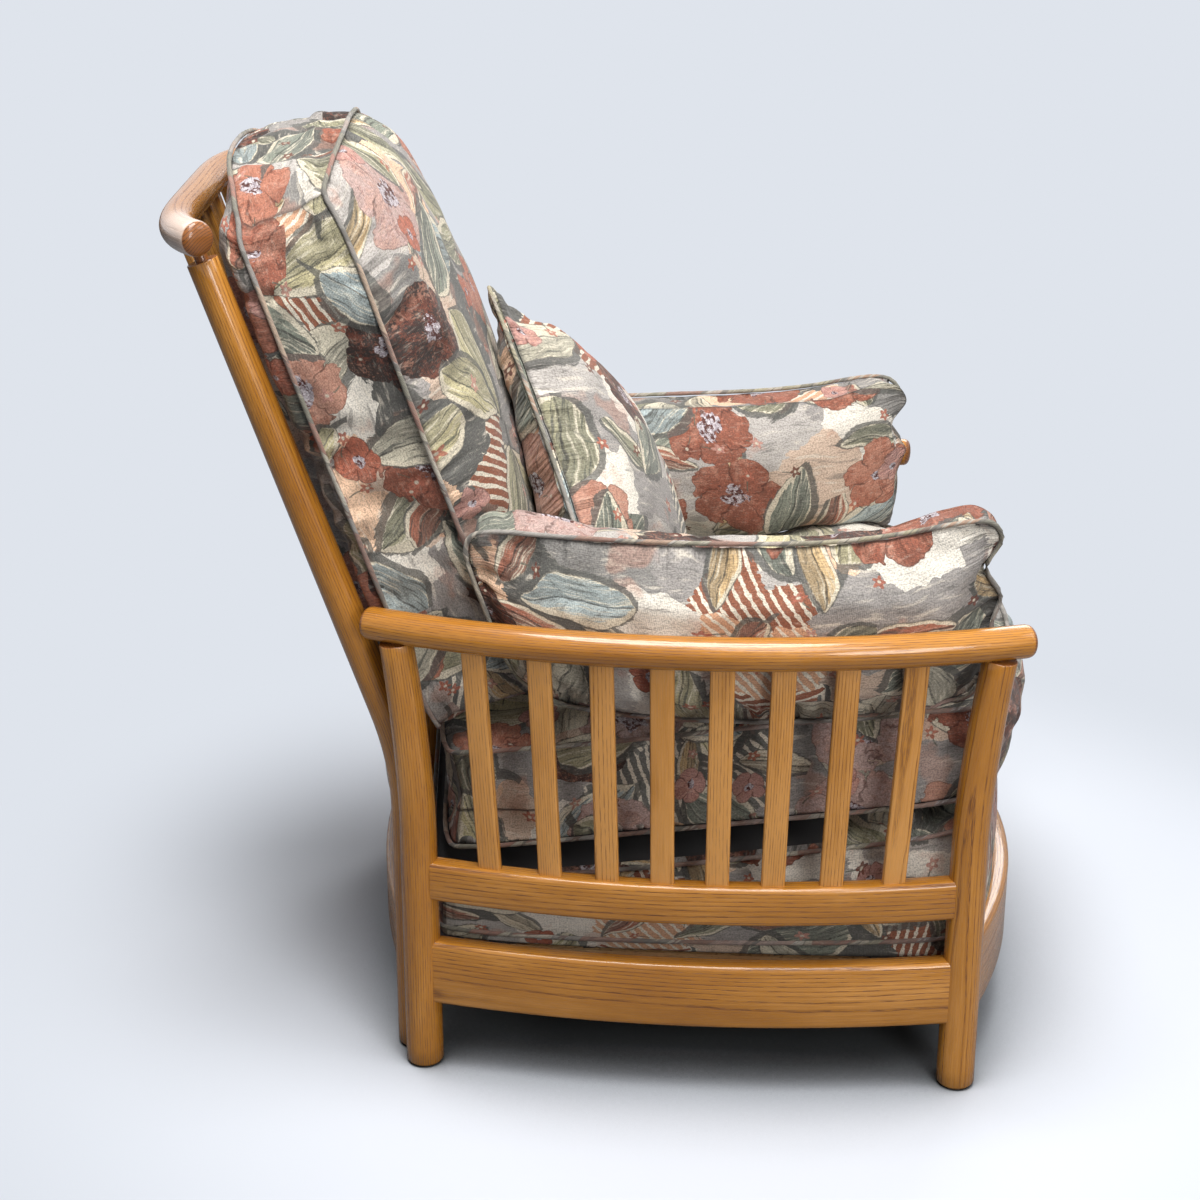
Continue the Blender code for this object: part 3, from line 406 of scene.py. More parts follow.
def blossom(f, cloth, place, cell, radius, shift, share, petals_of, mottles, petals=2.5):
    """Blowsy flowers of round lobes, flecked like woven wool, with a torn pale heart."""
    local, two, three = sown(f, place, cell, 0.60, shift)
    x, y, _ = f.split(local)
    out = (x * x + y * y) ** 0.5
    turn = y.sum("ARCTAN2", x)
    ragged = brush(f, local, 55.0, 55.0, three)
    wide = brush(f, local, 22.0, 22.0, two)
    petal = abs((turn * petals + (wide - 0.5) * 4.0).sum("COSINE"))
    size = radius * (0.78 + three * 0.22)
    inside = size * (0.70 + petal ** 0.5 * 0.26 + (wide - 0.5) * 0.46 + (ragged - 0.5) * 0.10) - out
    drawn = inside.ease(-0.0005, 0.0008) * two.ease(1.0 - share - 0.01, 1.0 - share)
    deep = out / size
    amount = f.steps(three, [(m, m, m) for m in mottles])
    streak = f.stretched((turn, out, three), (5.0, 60.0, 30.0), 3.0, 0.6)
    fleck = brush(f, local, 330.0, 330.0, two)
    seeds = brush(f, local, 170.0, 170.0, three)
    pale = f.mix(fleck.ease(0.4, 0.6), rgb(208, 200, 204), rgb(158, 147, 153))
    middle = f.mix(seeds.ease(0.44, 0.52), rgb(88, 50, 46), pale)
    body = f.coats(
        f.steps(three, petals_of),
        ((wide + (streak - 0.5) * 0.8).ease(0.50, 0.66) * 0.40, rgb(202, 152, 130)),
        ((ragged + (streak - 0.5) * 0.7).ease(0.50, 0.34) * 0.45, rgb(126, 70, 54)),
        ((fleck + (ragged - 0.5) * 0.8).ease(0.44, 0.54) * amount, rgb(50, 44, 42)),
        (petal.ease(0.02, 0.20, 0.65, 0.0) * deep.ease(0.20, 0.50), rgb(70, 36, 30)),
        (inside.ease(0.0006, 0.0022, 0.60, 0.0) * streak.ease(0.40, 0.52), rgb(62, 44, 40)),
        ((deep + (ragged - 0.5) * 0.50 + (wide - 0.5) * 0.6).ease(0.21, 0.24, 1.0, 0.0), middle),
    )
    return f.mix(drawn, cloth, body)


def tapestry(name, shade=0.0):
    """A made-up garden print of leaves, blossoms and a few stripes on a ribbed tapestry weave."""
    f = Finish(name)
    flat = f.add("UVMap", {"uv_map": "cloth"})
    shaken = f.noise(flat, 15.0, 1.8, 0.45, "2D", 1)
    shaken = f.vector("SCALE", f.vector("SUBTRACT", shaken, (0.5, 0.5, 0.5)))
    f.last.inputs["Scale"].default_value = 0.024
    place = f.vector("ADD", flat, shaken)

    wash = f.noise(f.vector("ADD", place, (3.1, 1.7, 0.0)), 13.0, 3.0, 0.55, "2D")
    daub = f.noise(f.vector("MULTIPLY", place, (18.0, 110.0, 1.0)), 1.0, 3.0, 0.6, "2D")
    torn = f.vector("ADD", place, f.join((daub - 0.5) * 0.022, (wash - 0.5) * 0.10))
    local, two, three = sown(f, torn, 0.105, 1.0, 2.2, flat)
    x, _, _ = f.split(local)
    line = (abs((x / STRIPE + (wash - 0.5) * 0.6).part() - 0.5) * 2.0 + (daub - 0.5) * 0.9).ease(0.58, 0.68)
    cloth = f.coats(
        f.ramp(three, PATCHES, "CONSTANT"),
        (daub.ease(0.58, 0.72) * 0.55, rgb(224, 214, 198)),
        (daub.ease(0.40, 0.28) * 0.50, rgb(100, 98, 94)),
        (wash.ease(0.42, 0.33) * 0.38, rgb(186, 134, 112)),
        (two.ease(0.78, 0.79), f.mix(line, f.ramp(three, STRIPED, "CONSTANT"), rgb(224, 214, 196))),
    )

    greens, warms, reds = ([rgb(*colour) for colour in colours] for colours in (GREENS, WARMS, REDS))
    mottles = (0.10, 0.90, 0.12, 0.75, 0.30, 0.20)
    cloth = leaf(f, cloth, place, 0.165, 0.078, 0.036, 1.9, greens, 0.80)
    cloth = leaf(f, cloth, place, 0.105, 0.048, 0.017, 7.7, warms, 0.45)
    cloth = blossom(f, cloth, place, 0.172, 0.070, 2.6, 0.70, reds, mottles)
    cloth = leaf(f, cloth, place, 0.150, 0.066, 0.031, 11.3, greens[::-1], 0.62)
    cloth = blossom(f, cloth, place, 0.100, 0.028, 5.2, 0.26, (rgb(196, 150, 140), rgb(190, 112, 88)), (0.1, 0.3), 2.0)

    sprigs, two, three = sown(f, place, 0.052, 0.9, 9.1)
    x, y, _ = f.split(sprigs)
    out = (x * x + y * y) ** 0.5
    petal = (y.sum("ARCTAN2", x) * 5.0).sum("COSINE")
    drawn = (0.0066 + petal * 0.0022 + (daub - 0.5) * 0.006 - out).ease(-0.0004, 0.0006) * two.over(0.62)
    stalk = abs(y + (x - 0.012) * (x - 0.012) * 14.0).ease(0.0005, 0.0013, 1.0, 0.0)
    stalk = stalk * x.over(0.004) * (0.022 - x).over(0.0) * two.over(0.62)
    sprig = f.mix(out.ease(0.0012, 0.0030), rgb(212, 202, 182), f.ramp(three, BERRIES, "CONSTANT"))

    u, v, _ = f.split(flat)
    worked = f.stretched((u, v), (70.0, 260.0), 3.0, 0.65)
    mottle = f.stretched((u, v), (420.0, 520.0), 2.0, 0.6)
    creased = f.stretched((u, v), (9.0, 13.0))
    rib = (v * (TURN / THREAD_UP)).sum("SINE") * 0.5 + 0.5
    yarn = (u * (TURN / THREAD_ALONG) + rib * 1.5).sum("SINE") * 0.5 + 0.5
    weave = rib * 0.6 + yarn * 0.4
    cloth = f.coats(
        cloth,
        (stalk * 0.8, rgb(92, 96, 84)),
        (drawn * 0.9, sprig),
        (worked.ease(0.52, 0.80) * 0.28, rgb(228, 219, 202)),
        (worked.ease(0.48, 0.26) * 0.36, rgb(62, 59, 56)),
        (mottle.ease(0.58, 0.36) * 0.38 + weave * 0.12, rgb(52, 48, 46)),
        (mottle.ease(0.62, 0.80) * 0.22, rgb(232, 225, 210)),
    )
    if shade:
        cloth = f.mix(shade, cloth, rgb(122, 118, 112))

    ways = f.split(f.kept("made_at", 1))
    a, b, c = (abs(way) for way in ways)
    wide = (a - b).over(0.0)
    ran = (ways[1] * wide + ways[0] * (1.0 - wide)) * 0.30
    across = (ways[0] * wide + ways[1] * (1.0 - wide)) * 0.30
    second = a.most(b).least(a.most(c)).least(b.most(c))
    gathers = f.stretched((ran, across, ways[2]), (62.0, 7.0, 0.35), 2.0, 0.55)
    gathers = gathers * (1.0 - second).ease(0.0, 0.26, 1.0, 0.0)
    # painted shade: the cloth darkens in the ditch along each seam, though not on the piping
    if not shade:
        cloth = f.mix((1.0 - second).ease(0.0, 0.022, 0.55, 0.0), cloth, rgb(52, 48, 46))
    zipped = f.kept("zipped") * ways[1].over(0.60) * abs(ways[2] + 0.30).ease(0.012, 0.034, 1.0, 0.0)
    cloth = f.mix(zipped * 0.75, cloth, rgb(48, 42, 40))
    folds = f.bump(gathers + creased * 0.6 - zipped * 0.35, 0.011, 0.85)
    normal = f.bump(weave * 0.7 + mottle * 0.8, 0.0007, 0.6, folds)
    return f.done(
        Base_Color=cloth,
        Roughness=0.86 + (mottle - 0.5) * 0.14,
        Normal=normal,
        Sheen_Weight=0.10,
        Sheen_Roughness=0.45,
        Specular_IOR_Level=0.2,
    )


def lining_and_shade():
    """The plain black cloth that the base wears under the seat cushion; it is also painted shade, where the seat
    cushion shades the base.
    """
    f = Finish("black_lining_and_painted_shade")
    place = f.place()
    fuzz = f.noise(place, 700.0)
    cloud = f.noise(place, 25.0, 3.0)
    colour = f.mix(fuzz * 0.5 + cloud * 0.5, rgb(22, 22, 24), rgb(52, 50, 50))
    return f.done(Base_Color=colour, Roughness=0.9, Normal=f.bump(fuzz, 0.0004, 0.6))


# Making the ash pieces: each is shaped straight, then laid along its course


def linked(name, data):
    """A new object in the scene."""
    piece = bpy.data.objects.new(name, data)
    bpy.context.scene.collection.objects.link(piece)
    return piece


def mesh_of(name, shape):
    """Ends a shape in a mesh."""
    mesh = bpy.data.meshes.new(name)
    shape.to_mesh(mesh)
    shape.free()
    return mesh


def stand(name, shape, finish, nodes=(), sharp=38):
    """Turns a finished shape into a piece of the chair."""
    bmesh.ops.recalc_face_normals(shape, faces=shape.faces)
    if shape.calc_volume(signed=True) < 0:
        bmesh.ops.reverse_faces(shape, faces=shape.faces)
    mesh = mesh_of(name, shape)
    mesh.shade_smooth()
    if sharp:
        mesh.set_sharp_from_angle(angle=math.radians(sharp))
    mesh.materials.append(finish)
    piece = linked(name, mesh)
    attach(piece, "root")
    if nodes:
        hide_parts(*nodes)
    return piece


def course(place, up, step=0.001):
    """A bar's course: at a distance, its middle and its two square ways, the second along up."""

    def at(distance):
        way = (place(distance + step) - place(distance - step)).normalized()
        across = up.cross(way).normalized()
        return place(distance), across, way.cross(across)

    return at


def lay(shape, at, log):
    """Lays a straight shape along its course and keeps where each point was in the log."""
    grain = shape.verts.layers.float_vector.new("grain_at")
    offset = Vector(log)
    for vert in shape.verts:
        x, y, z = vert.co
        middle, across, up = at(z)
        vert[grain] = Vector((z, x, y)) + offset
        vert.co = middle + across * x + up * y


def log_place(number, near=0.035, span=0.05):
    """A piece's own place in its log, from its number."""
    turn = number * 2.39996
    out = near + span * ((number * 0.61803) % 1.0)
    return (number * 0.733 % 5.0, out * math.cos(turn), out * math.sin(turn))


def lengthwise(shape, least, axis=2):
    """The edges that run along an axis for more than a length."""
    return [e for e in shape.edges if abs(e.verts[0].co[axis] - e.verts[1].co[axis]) > least]


def rod(sides, cuts, capped=True):
    """A round rod of radius and length 1, cut across."""
    shape = bmesh.new()
    bmesh.ops.create_cone(shape, cap_ends=capped, segments=sides, radius1=1, radius2=1, depth=1)
    bmesh.ops.subdivide_edges(shape, edges=lengthwise(shape, 0.5), cuts=cuts)
    return shape


def round_bar(node, at, stations, log, sides=32, faded=None):
    """A round bar: stations hold a distance, a radius and how much of the end grain shows."""
    shape = rod(sides, len(stations) - 2)
    end_cut = shape.verts.layers.float.new("end_cut")
    for vert in shape.verts:
        distance, radius, end = stations[round((vert.co.z + 0.5) * (len(stations) - 1))]
        vert.co = (vert.co.x * radius, vert.co.y * radius, distance)
        vert[end_cut] = end
    # the bar's painted highlight, where it has one
    if faded:
        pale = shape.verts.layers.float.new("faded")
        for vert in shape.verts:
            vert[pale] = faded(*vert.co)
    lay(shape, at, log)
    stand("ash_" + node, shape, ASH, [node])


# A domed end: how far in, the share of the radius and how much of the end grain shows
DOME = (
    (0.0, 0.12, 1.0),
    (0.0004, 0.36, 1.0),
    (0.0011, 0.56, 1.0),
    (0.0021, 0.73, 1.0),
    (0.0036, 0.86, 0.9),
    (0.0056, 0.945, 0.5),
    (0.0080, 0.985, 0.1),
    (0.0108, 1.0, 0.0),
)
FOOT_CHAMFER, SHOULDER_CHAMFER, TENON_LENGTH = 0.0045, 0.0012, 0.016


def domed(first, last, radius, count):
    """Stations of a round rail with softly domed ends."""
    head = [(first + d, radius * r, e) for d, r, e in DOME]
    tail = [(last - d, radius * r, e) for d, r, e in reversed(DOME)]
    start, stop = head[-1][0], tail[0][0]
    middle = [(start + (stop - start) * i / count, radius, 0.0) for i in range(1, count)]
    return head + middle + tail


def footed(top, radius_at, count):
    """Stations of a leg: a chamfered foot, a flat shoulder and a round tenon."""
    low, high = FOOT_CHAMFER, top - SHOULDER_CHAMFER
    foot, r = radius_at(0.0), radius_at(top)
    stations = [(0.0, foot - FOOT_CHAMFER, 0.6), (0.0012, foot - 0.0022, 0.3), (low, foot, 0.0)]
    for i in range(1, count):
        z = low + (high - low) * i / count
        stations.append((z, radius_at(z), 0.0))
    stations += [(high, r, 0.0), (top - 0.0005, r - 0.0003, 0.3), (top, r - 0.0009, 1.0)]
    return stations + [(top + 0.0001, TENON_R, 1.0), (top + TENON_LENGTH, TENON_R, 1.0)]


def flat_bar(node, at, first, last, size, rounding, rows, log, sapwood=0.0):
    """A flat bar with rounded edges; size is across its course and up."""
    shape = bmesh.new()
    bmesh.ops.create_cube(shape, size=1.0)
    bmesh.ops.scale(shape, vec=(size[0], size[1], last - first), verts=shape.verts)
    bmesh.ops.translate(shape, vec=(0, 0, (first + last) / 2), verts=shape.verts)
    rounded_off = {"offset": rounding, "offset_type": "OFFSET", "segments": 3, "profile": 0.5, "material": -1}
    bmesh.ops.bevel(shape, geom=lengthwise(shape, 0.01), affect="EDGES", **rounded_off)
    if rows > 1:
        bmesh.ops.subdivide_edges(shape, edges=lengthwise(shape, (last - first) * 0.9), cuts=rows - 1)
    # how much lighter the bar is painted, as painted light
    pale = shape.verts.layers.float.new("sapwood")
    for vert in shape.verts:
        vert[pale] = sapwood
    lay(shape, at, log)
    stand("ash_" + node, shape, ASH, [node])


def bowed_board(node, at, half, middle, height, rows, log):
    """A flat board between two legs, coped round them."""
    first, last = middle - half + RAIL_INSET, middle + half - RAIL_INSET
    flat_bar(node, at, first, last, (RAIL_THICK, height), RAIL_ROUND, rows, log)


def bow(place, middle, half, sag):
    return sag * (1 - ((place - middle) / half) ** 2)


def arm_rail_offset(u):
    return bow(u, ARM_LENGTH / 2, ARM_LENGTH / 2 + ARM_REACH, ARM_SAG) - ARM_TUCK


def arm_to_chair(side, u, v, z):
    """The chair's place of a point along and out from the legs' line."""
    turn = Matrix.Rotation(side * TOE, 3, "Z")
    return Vector((side * FRONT_LEG_X, FRONT_LEG_Y, 0)) + turn @ Vector((side * v, u, z))


def chair_to_arm(side, point):
    """The place along and out from the legs' line of a point of the chair."""
    turn = Matrix.Rotation(-side * TOE, 3, "Z")
    local = turn @ (point - Vector((side * FRONT_LEG_X, FRONT_LEG_Y, 0)))
    return local.y, side * local.x


def leg_radius(z):
    return LEG_FOOT_R + (LEG_TOP_R - LEG_FOOT_R) * (z / ARM_RAIL_Z) ** 2


def post_radius(z):
    return POST_FOOT_R + (POST_TOP_R - POST_FOOT_R) * min(1.0, z / TOP_RAIL_Z) ** 1.3


def post_back(z):
    start, stop = POST_BEND_Z - POST_BEND_REACH, POST_BEND_Z + POST_BEND_REACH
    if z <= start:
        return 0.0
    if z >= stop:
        return POST_RAKE * (z - POST_BEND_Z)
    return POST_RAKE * (z - start) ** 2 / (4 * POST_BEND_REACH)


def top_rail_back(x):
    over_post = abs(POST_X / TOP_RAIL_HALF) ** 5.5
    at_post = POST_Y + post_back(TOP_RAIL_Z) + 0.0075
    return at_post + 0.041 * (over_post - abs(x / TOP_RAIL_HALF) ** 5.5)


def front_rail_y(x):
    return FRONT_LEG_Y - bow(x, 0, FRONT_LEG_X, FRONT_RAIL_SAG)


def arm_frames():
    """Both arms: legs, arm rails, bowed boards and fanned slats."""
    for side, word in SIDES:
        number = 10 if side < 0 else 60
        half = ARM_LENGTH / 2
        rail = course(lambda u: arm_to_chair(side, u, arm_rail_offset(u), ARM_RAIL_Z), UP)
        stations = domed(-ARM_REACH, ARM_LENGTH + ARM_REACH, ARM_RAIL_R, 44)
        round_bar("arm_rail_" + word, rail, stations, (number * 0.37, 0.012, -0.034), 36)
        for end, foot_u, tilt in (("front", 0.0, -0.0205), ("rear", ARM_LENGTH, 0.019)):
            number += 1
            out = arm_rail_offset(foot_u + tilt)

            def leg_at(z):
                share = plus((z - LEG_TURN_Z) / (ARM_RAIL_Z - LEG_TURN_Z)) ** 1.6
                return arm_to_chair(side, foot_u + tilt * share, out * share, z)

            node = end + "_leg_" + word
            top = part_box(node)[1].z - TENON_LENGTH - 0.0012
            leg = course(leg_at, arm_to_chair(side, 0, 1, 0) - arm_to_chair(side, 0, 0, 0))
            round_bar(node, leg, footed(top, leg_radius, 26), log_place(number))
        for kind, (low, height), sag, deep in (
            ("lower_rail_", LOW_RAIL, 0.032, 0.026),
            ("middle_rail_", MIDDLE_RAIL, MIDDLE_RAIL_SAG, 0.040),
        ):
            number += 1
            board = course(lambda u: arm_to_chair(side, u, bow(u, half, half, sag), low + height / 2), UP)
            bowed_board(kind + word, board, half, half, height, 26, (number * 0.37, 0.060, deep))
        for index in range(SIDE_SLATS):
            number += 1
            t = 2 * index / (SIDE_SLATS - 1) - 1
            reach = 0.22 * (0.94 * t + 0.06 * t ** 3)
            foot_u, head_u = half + reach, half + reach * 1.06
            foot = arm_to_chair(side, foot_u, bow(foot_u, half, half, MIDDLE_RAIL_SAG), sum(MIDDLE_RAIL))
            head, beyond = (arm_to_chair(side, u, arm_rail_offset(u), ARM_RAIL_Z) for u in (head_u, head_u + 0.01))
            slat("arm_slat_%s_%d" % (word, index + 1), foot, head, beyond - head, ARM_RAIL_R, number)


def slat(node, foot, head, run, rail_radius, number):
    """A flat slat let into a board at its foot and a round rail at its head."""
    way = (head - foot).normalized()
    line = course(lambda d: foot + way * d, way.cross(run.normalized()).normalized())
    last = (head - foot).length - (rail_radius - SLAT_STOP)
    # slats are painted lighter, for the light they catch
    log, sapwood = log_place(number, 0.03, 0.06), 0.84 + 0.08 * (number * 3 % 4)
    flat_bar(node, line, -SLAT_LET_IN, last, (SLAT_WIDTH, SLAT_THICK), SLAT_ROUND, 1, log, sapwood)


def back_frame():
    """The two swept posts, the hooked top rail, the back's boards and slats."""
    half = TOP_RAIL_HALF

    def rail_at(share):
        x = half * math.sin(math.pi / 2 * share)
        return Vector((x, top_rail_back(x), TOP_RAIL_Z))

    lengths = [0.0]
    steps = 400
    for i in range(steps):
        lengths.append(lengths[-1] + (rail_at(-1 + 2 * (i + 1) / steps) - rail_at(-1 + 2 * i / steps)).length)

    def rail_place(distance):
        """The place at a true distance, so that the hooks get their share of rings."""
        if distance <= 0:
            return rail_at(-1) + (rail_at(-1) - rail_at(-0.97)).normalized() * -distance
        if distance >= lengths[-1]:
            return rail_at(1) + (rail_at(1) - rail_at(0.97)).normalized() * (distance - lengths[-1])
        low = max(i for i in range(steps) if lengths[i] <= distance)
        share = (distance - lengths[low]) / (lengths[low + 1] - lengths[low])
        return rail_at(-1 + 2 * (low + share) / steps)

    def pale_highlight(x, y, z):
        """Painted highlight: pale wood on the outside of the right bend, near the rail's end."""
        near = 1 / (1 + math.exp((z - 0.066) / 0.013)) * within((z - 0.003) / 0.004)
        return 0.92 * near * within(0.95 + (x + y * 0.35) / 0.024)

    rail = course(rail_place, UP, 0.002)
    stations = domed(0.0, lengths[-1], TOP_RAIL_R + TOP_RAIL_EXTRA, 72)
    # the top rail gets a painted highlight near its right end
    round_bar("top_rail", rail, stations, (2.1, 0.018, 0.030), 36, pale_highlight)
    for side, word in SIDES:
        line = course(lambda z: Vector((side * POST_X, POST_Y + post_back(z), z)), Vector((1, 0, 0)))
        top = TOP_RAIL_Z - TOP_RAIL_R / math.cos(LEAN) - 0.0095
        round_bar("back_post_" + word, line, footed(top, post_radius, 54), log_place(31 + side))
    boards = (("back_low_rail", LOW_RAIL, 0.029), ("back_mid_rail", BACK_MID_RAIL, BACK_MID_RAIL_SAG))
    for node, (low, height), sag in boards:
        board = course(lambda x: Vector((x, POST_Y + bow(x, 0, POST_X, sag), low + height / 2)), UP)
        bowed_board(node, board, POST_X, 0, height, 24, (low * 9, 0.055, 0.003))
    board = course(lambda x: Vector((x, front_rail_y(x), FRONT_RAIL_Z)), UP)
    bowed_board("front_rail", board, FRONT_LEG_X, 0, FRONT_RAIL_HEIGHT, 40, (3.3, 0.050, -0.006))
    for index in range(BACK_SLATS):
        x = BACK_SLAT_STEP * (index - (BACK_SLATS - 1) / 2)
        foot = Vector((x, POST_Y + bow(x, 0, POST_X, BACK_MID_RAIL_SAG), sum(BACK_MID_RAIL)))
        head = Vector((x, top_rail_back(x), TOP_RAIL_Z))
        slat("back_slat_%d" % (index + 1), foot, head, Vector((1, 0, 0)), TOP_RAIL_R, 90 + index)


# Cushions


ALL_WAYS = {"use_axis_x": True, "use_axis_y": True, "use_axis_z": True}


def rim(a):
    """1 at an edge, fading to nothing a third of the way in, with the edge's way."""
    return math.copysign(plus(3 * abs(a) - 2), a)


def dome(a, b, power=0.6):
    return (plus(1 - a * a) * plus(1 - b * b)) ** power


def seat_low(y):
    return 0.336 - 0.146 * (y - FRONT_LEG_Y)


def seat_half(y):
    return 0.330 - 0.072 * max(-0.05, (y - FRONT_LEG_Y) / SEAT_DEPTH)


def seat_plan(a, b, nose, extra):
    front = FRONT_LEG_Y - nose * (1 - 0.78 * a * a)
    y = front + (FRONT_LEG_Y + SEAT_DEPTH + extra - front) * (b + 1) / 2
    return a * seat_half(y), y


def seat_place(a, b, c):
    x, y = seat_plan(a, b, 0.118, 0.0)
    waist = 1 - c * c
    x -= rim(a) * 0.006 * waist
    z = seat_low(y) + 0.0006 + SEAT_THICK * (c + 1) / 2
    front = plus(-rim(b))
    y += front * (0.022 * plus(c) + 0.012 * plus(-c)) - plus(rim(b)) * 0.006 * waist
    z -= front * 0.014 * plus(c)
    if c > 0:
        z += 0.024 * dome(a, b, 0.45) * c
    return Vector((x, y, z))


def base_place(a, b, c):
    x, y = seat_plan(a, b, 0.093, 0.014)
    along = within((y - FRONT_LEG_Y) / SEAT_DEPTH)
    x += rim(a) * 0.020 * 4 * along * (1 - along) * (1 - 0.5 * c * c)
    y += plus(-rim(b)) * 0.012 * c * c
    high = seat_low(y) - BASE_SIDE_DROP * plus((3 * abs(a) - 1) / 2) ** 2
    return Vector((x, y, BASE_LOW + (high - BASE_LOW) * (c + 1) / 2))


def back_place(a, b, c):
    half = 0.268 - 0.014 * plus(-b) ** 2 - 0.030 * plus(b) ** 3
    start = BACK_FOOT + AHEAD * BACK_STANDOFF
    waist = 1 - c * c
    along = (BACK_LENGTH - 0.009 * (c + 1)) * (b + 1) / 2
    out = BACK_THICK * (c + 1) / 2
    x = a * half - rim(a) * 0.008 * waist
    along -= rim(b) * 0.006 * waist
    along += plus(rim(b)) * 0.036 * (1 - a * a) * (0.60 + 0.35 * waist)
    along -= plus(-rim(b)) * 0.016 * (1 - a * a) * (0.40 + 0.60 * waist)
    swell = (1 - a * a) ** 0.5 * plus(1 - 0.94 * abs(b) ** (3.4 if b > 0 else 2)) ** 0.5
    if c == 1:
        out += 0.066 * swell
    if c == -1:
        out -= 0.040 * swell
    corner = abs(a) ** 5 * plus(b) ** 5 * (c + 1) / 2 * (1.0 if a < 0 else 0.35)
    behind = abs(a) ** 4 * plus(b) ** 5 * (1 - c) / 2 * (1.0 if a < 0 else 0.6)
    along, out = along - 0.036 * behind, out + 0.012 * behind
    on_post = min(1.0, (b + 1) / 0.35) * (1 - abs(b) ** 16)
    out -= 0.005 * abs(a) ** 8 * (1 - c) / 2 * on_post
    if c == -1:
        out -= 0.022 * within((abs(a) - 0.70) / 0.15) * (1 - abs(a) ** 24) * on_post
    return Vector((x, 0, 0)) + start + RISE * (along - 0.010 * corner) + AHEAD * (out - 0.026 * corner)


def arm_place(side):
    def place(a, b, c):
        front, rear = plus(-a) ** 3, plus(a) ** 3
        last = 0.560 + 0.034 * (b - 1)
        u = -0.022 + (last + 0.022) * (a + 1) / 2
        waist = 1 - c * c
        edge = plus(10 * -a - 9)
        u += edge * (0.022 * (1 - min(1.0, (abs(b - 0.32) * 3.4) ** 1.3)) + 0.010 * within(-4 * b))
        low = 0.430 + 0.026 * front + 0.028 * rear
        top = 0.628 + 0.040 * front + 0.020 * rear
        z = low + (top - low) * (b + 1) / 2 + plus(rim(b)) * (0.004 * waist + 0.013 * (1 - c) / 2 * (1 - front))
        turn = plus(1 - u / 0.320)
        v = -0.032 - 0.038 * turn * turn + c * (0.022 - 0.007 * front)
        puff = (1 - abs(a) ** 4) * plus(1 - b * b) ** 0.5
        if c == 1:
            v += puff * plus(arm_rail_offset(u) - ARM_RAIL_R - 0.0012 - v)
        if c == -1:
            v -= puff * 0.036
        return arm_to_chair(side, u, v, z)

    return place


def scatter_place(a, b, c):
    turn, lean, roll = -0.120, 0.470, 0.650
    facing = Vector((math.sin(turn) * math.cos(lean), -math.cos(turn) * math.cos(lean), math.sin(lean)))
    level = Vector((math.cos(turn), math.sin(turn), 0.0))
    steep = level.cross(-facing)
    if steep.z < 0:
        steep = -steep
    across = level * math.cos(roll) - steep * math.sin(roll)
    rise = steep * math.cos(roll) + level * math.sin(roll)
    return (
        SCATTER_MIDDLE
        + across * a * SCATTER_HALF * (1 - 0.08 * (1 - b * b))
        + rise * b * SCATTER_HALF * (1 - 0.08 * (1 - a * a))
        + facing * c * (0.004 + 0.058 * dome(a, b, 0.5))
    )


def rounded(place, share, power=9, other=None, other_power=None):
    """Softens the four corners of a cushion's plan."""
    other = share if other is None else other
    other_power = other_power or power

    def at(a, b, c):
        a, b = a * (1 - share * abs(b) ** power), b * (1 - other * abs(a) ** other_power)
        return place(a, b, c)

    return at


def sewn(node, place, cells, cloth, print_at, name=None):
    """A cushion cover: two panels and a border between them, with its cloth laid out flat."""
    shape = bmesh.new()
    bmesh.ops.create_cube(shape, size=2.0)
    for axis, count in enumerate(cells):
        along = lengthwise(shape, 0.001, axis)
        bmesh.ops.subdivide_edges(shape, edges=along, cuts=count - 1, use_grid_fill=True)
    made = shape.verts.layers.float_vector.new("made_at")
    flat = shape.loops.layers.uv.new("cloth")
    for vert in shape.verts:
        vert[made] = [round(c, 5) for c in vert.co]
    width, height, depth = (s / 2 for s in cloth)
    for face in shape.faces:
        middle = face.calc_center_median()
        axis = max(range(3), key=lambda i: abs(middle[i]))
        for loop in face.loops:
            a, b, c = loop.vert[made]
            u, v = (
                (b * height + 1.9, c * depth + (0.0 if middle.x > 0 else 0.55)),
                (a * width + 0.9, c * depth + (0.0 if middle.y > 0 else 0.45)),
                (a * width, b * height + (0.0 if middle.z > 0 else 1.3)),
            )[axis]
            loop[flat].uv = (u + print_at[0], v + print_at[1])
    for vert in shape.verts:
        vert.co = place(*vert[made])
    return stand(name or "tapestry_" + node, shape, TAPESTRY, [node], 0)


def made_at(piece):
    return [Vector(item.vector) for item in piece.data.attributes["made_at"].data]


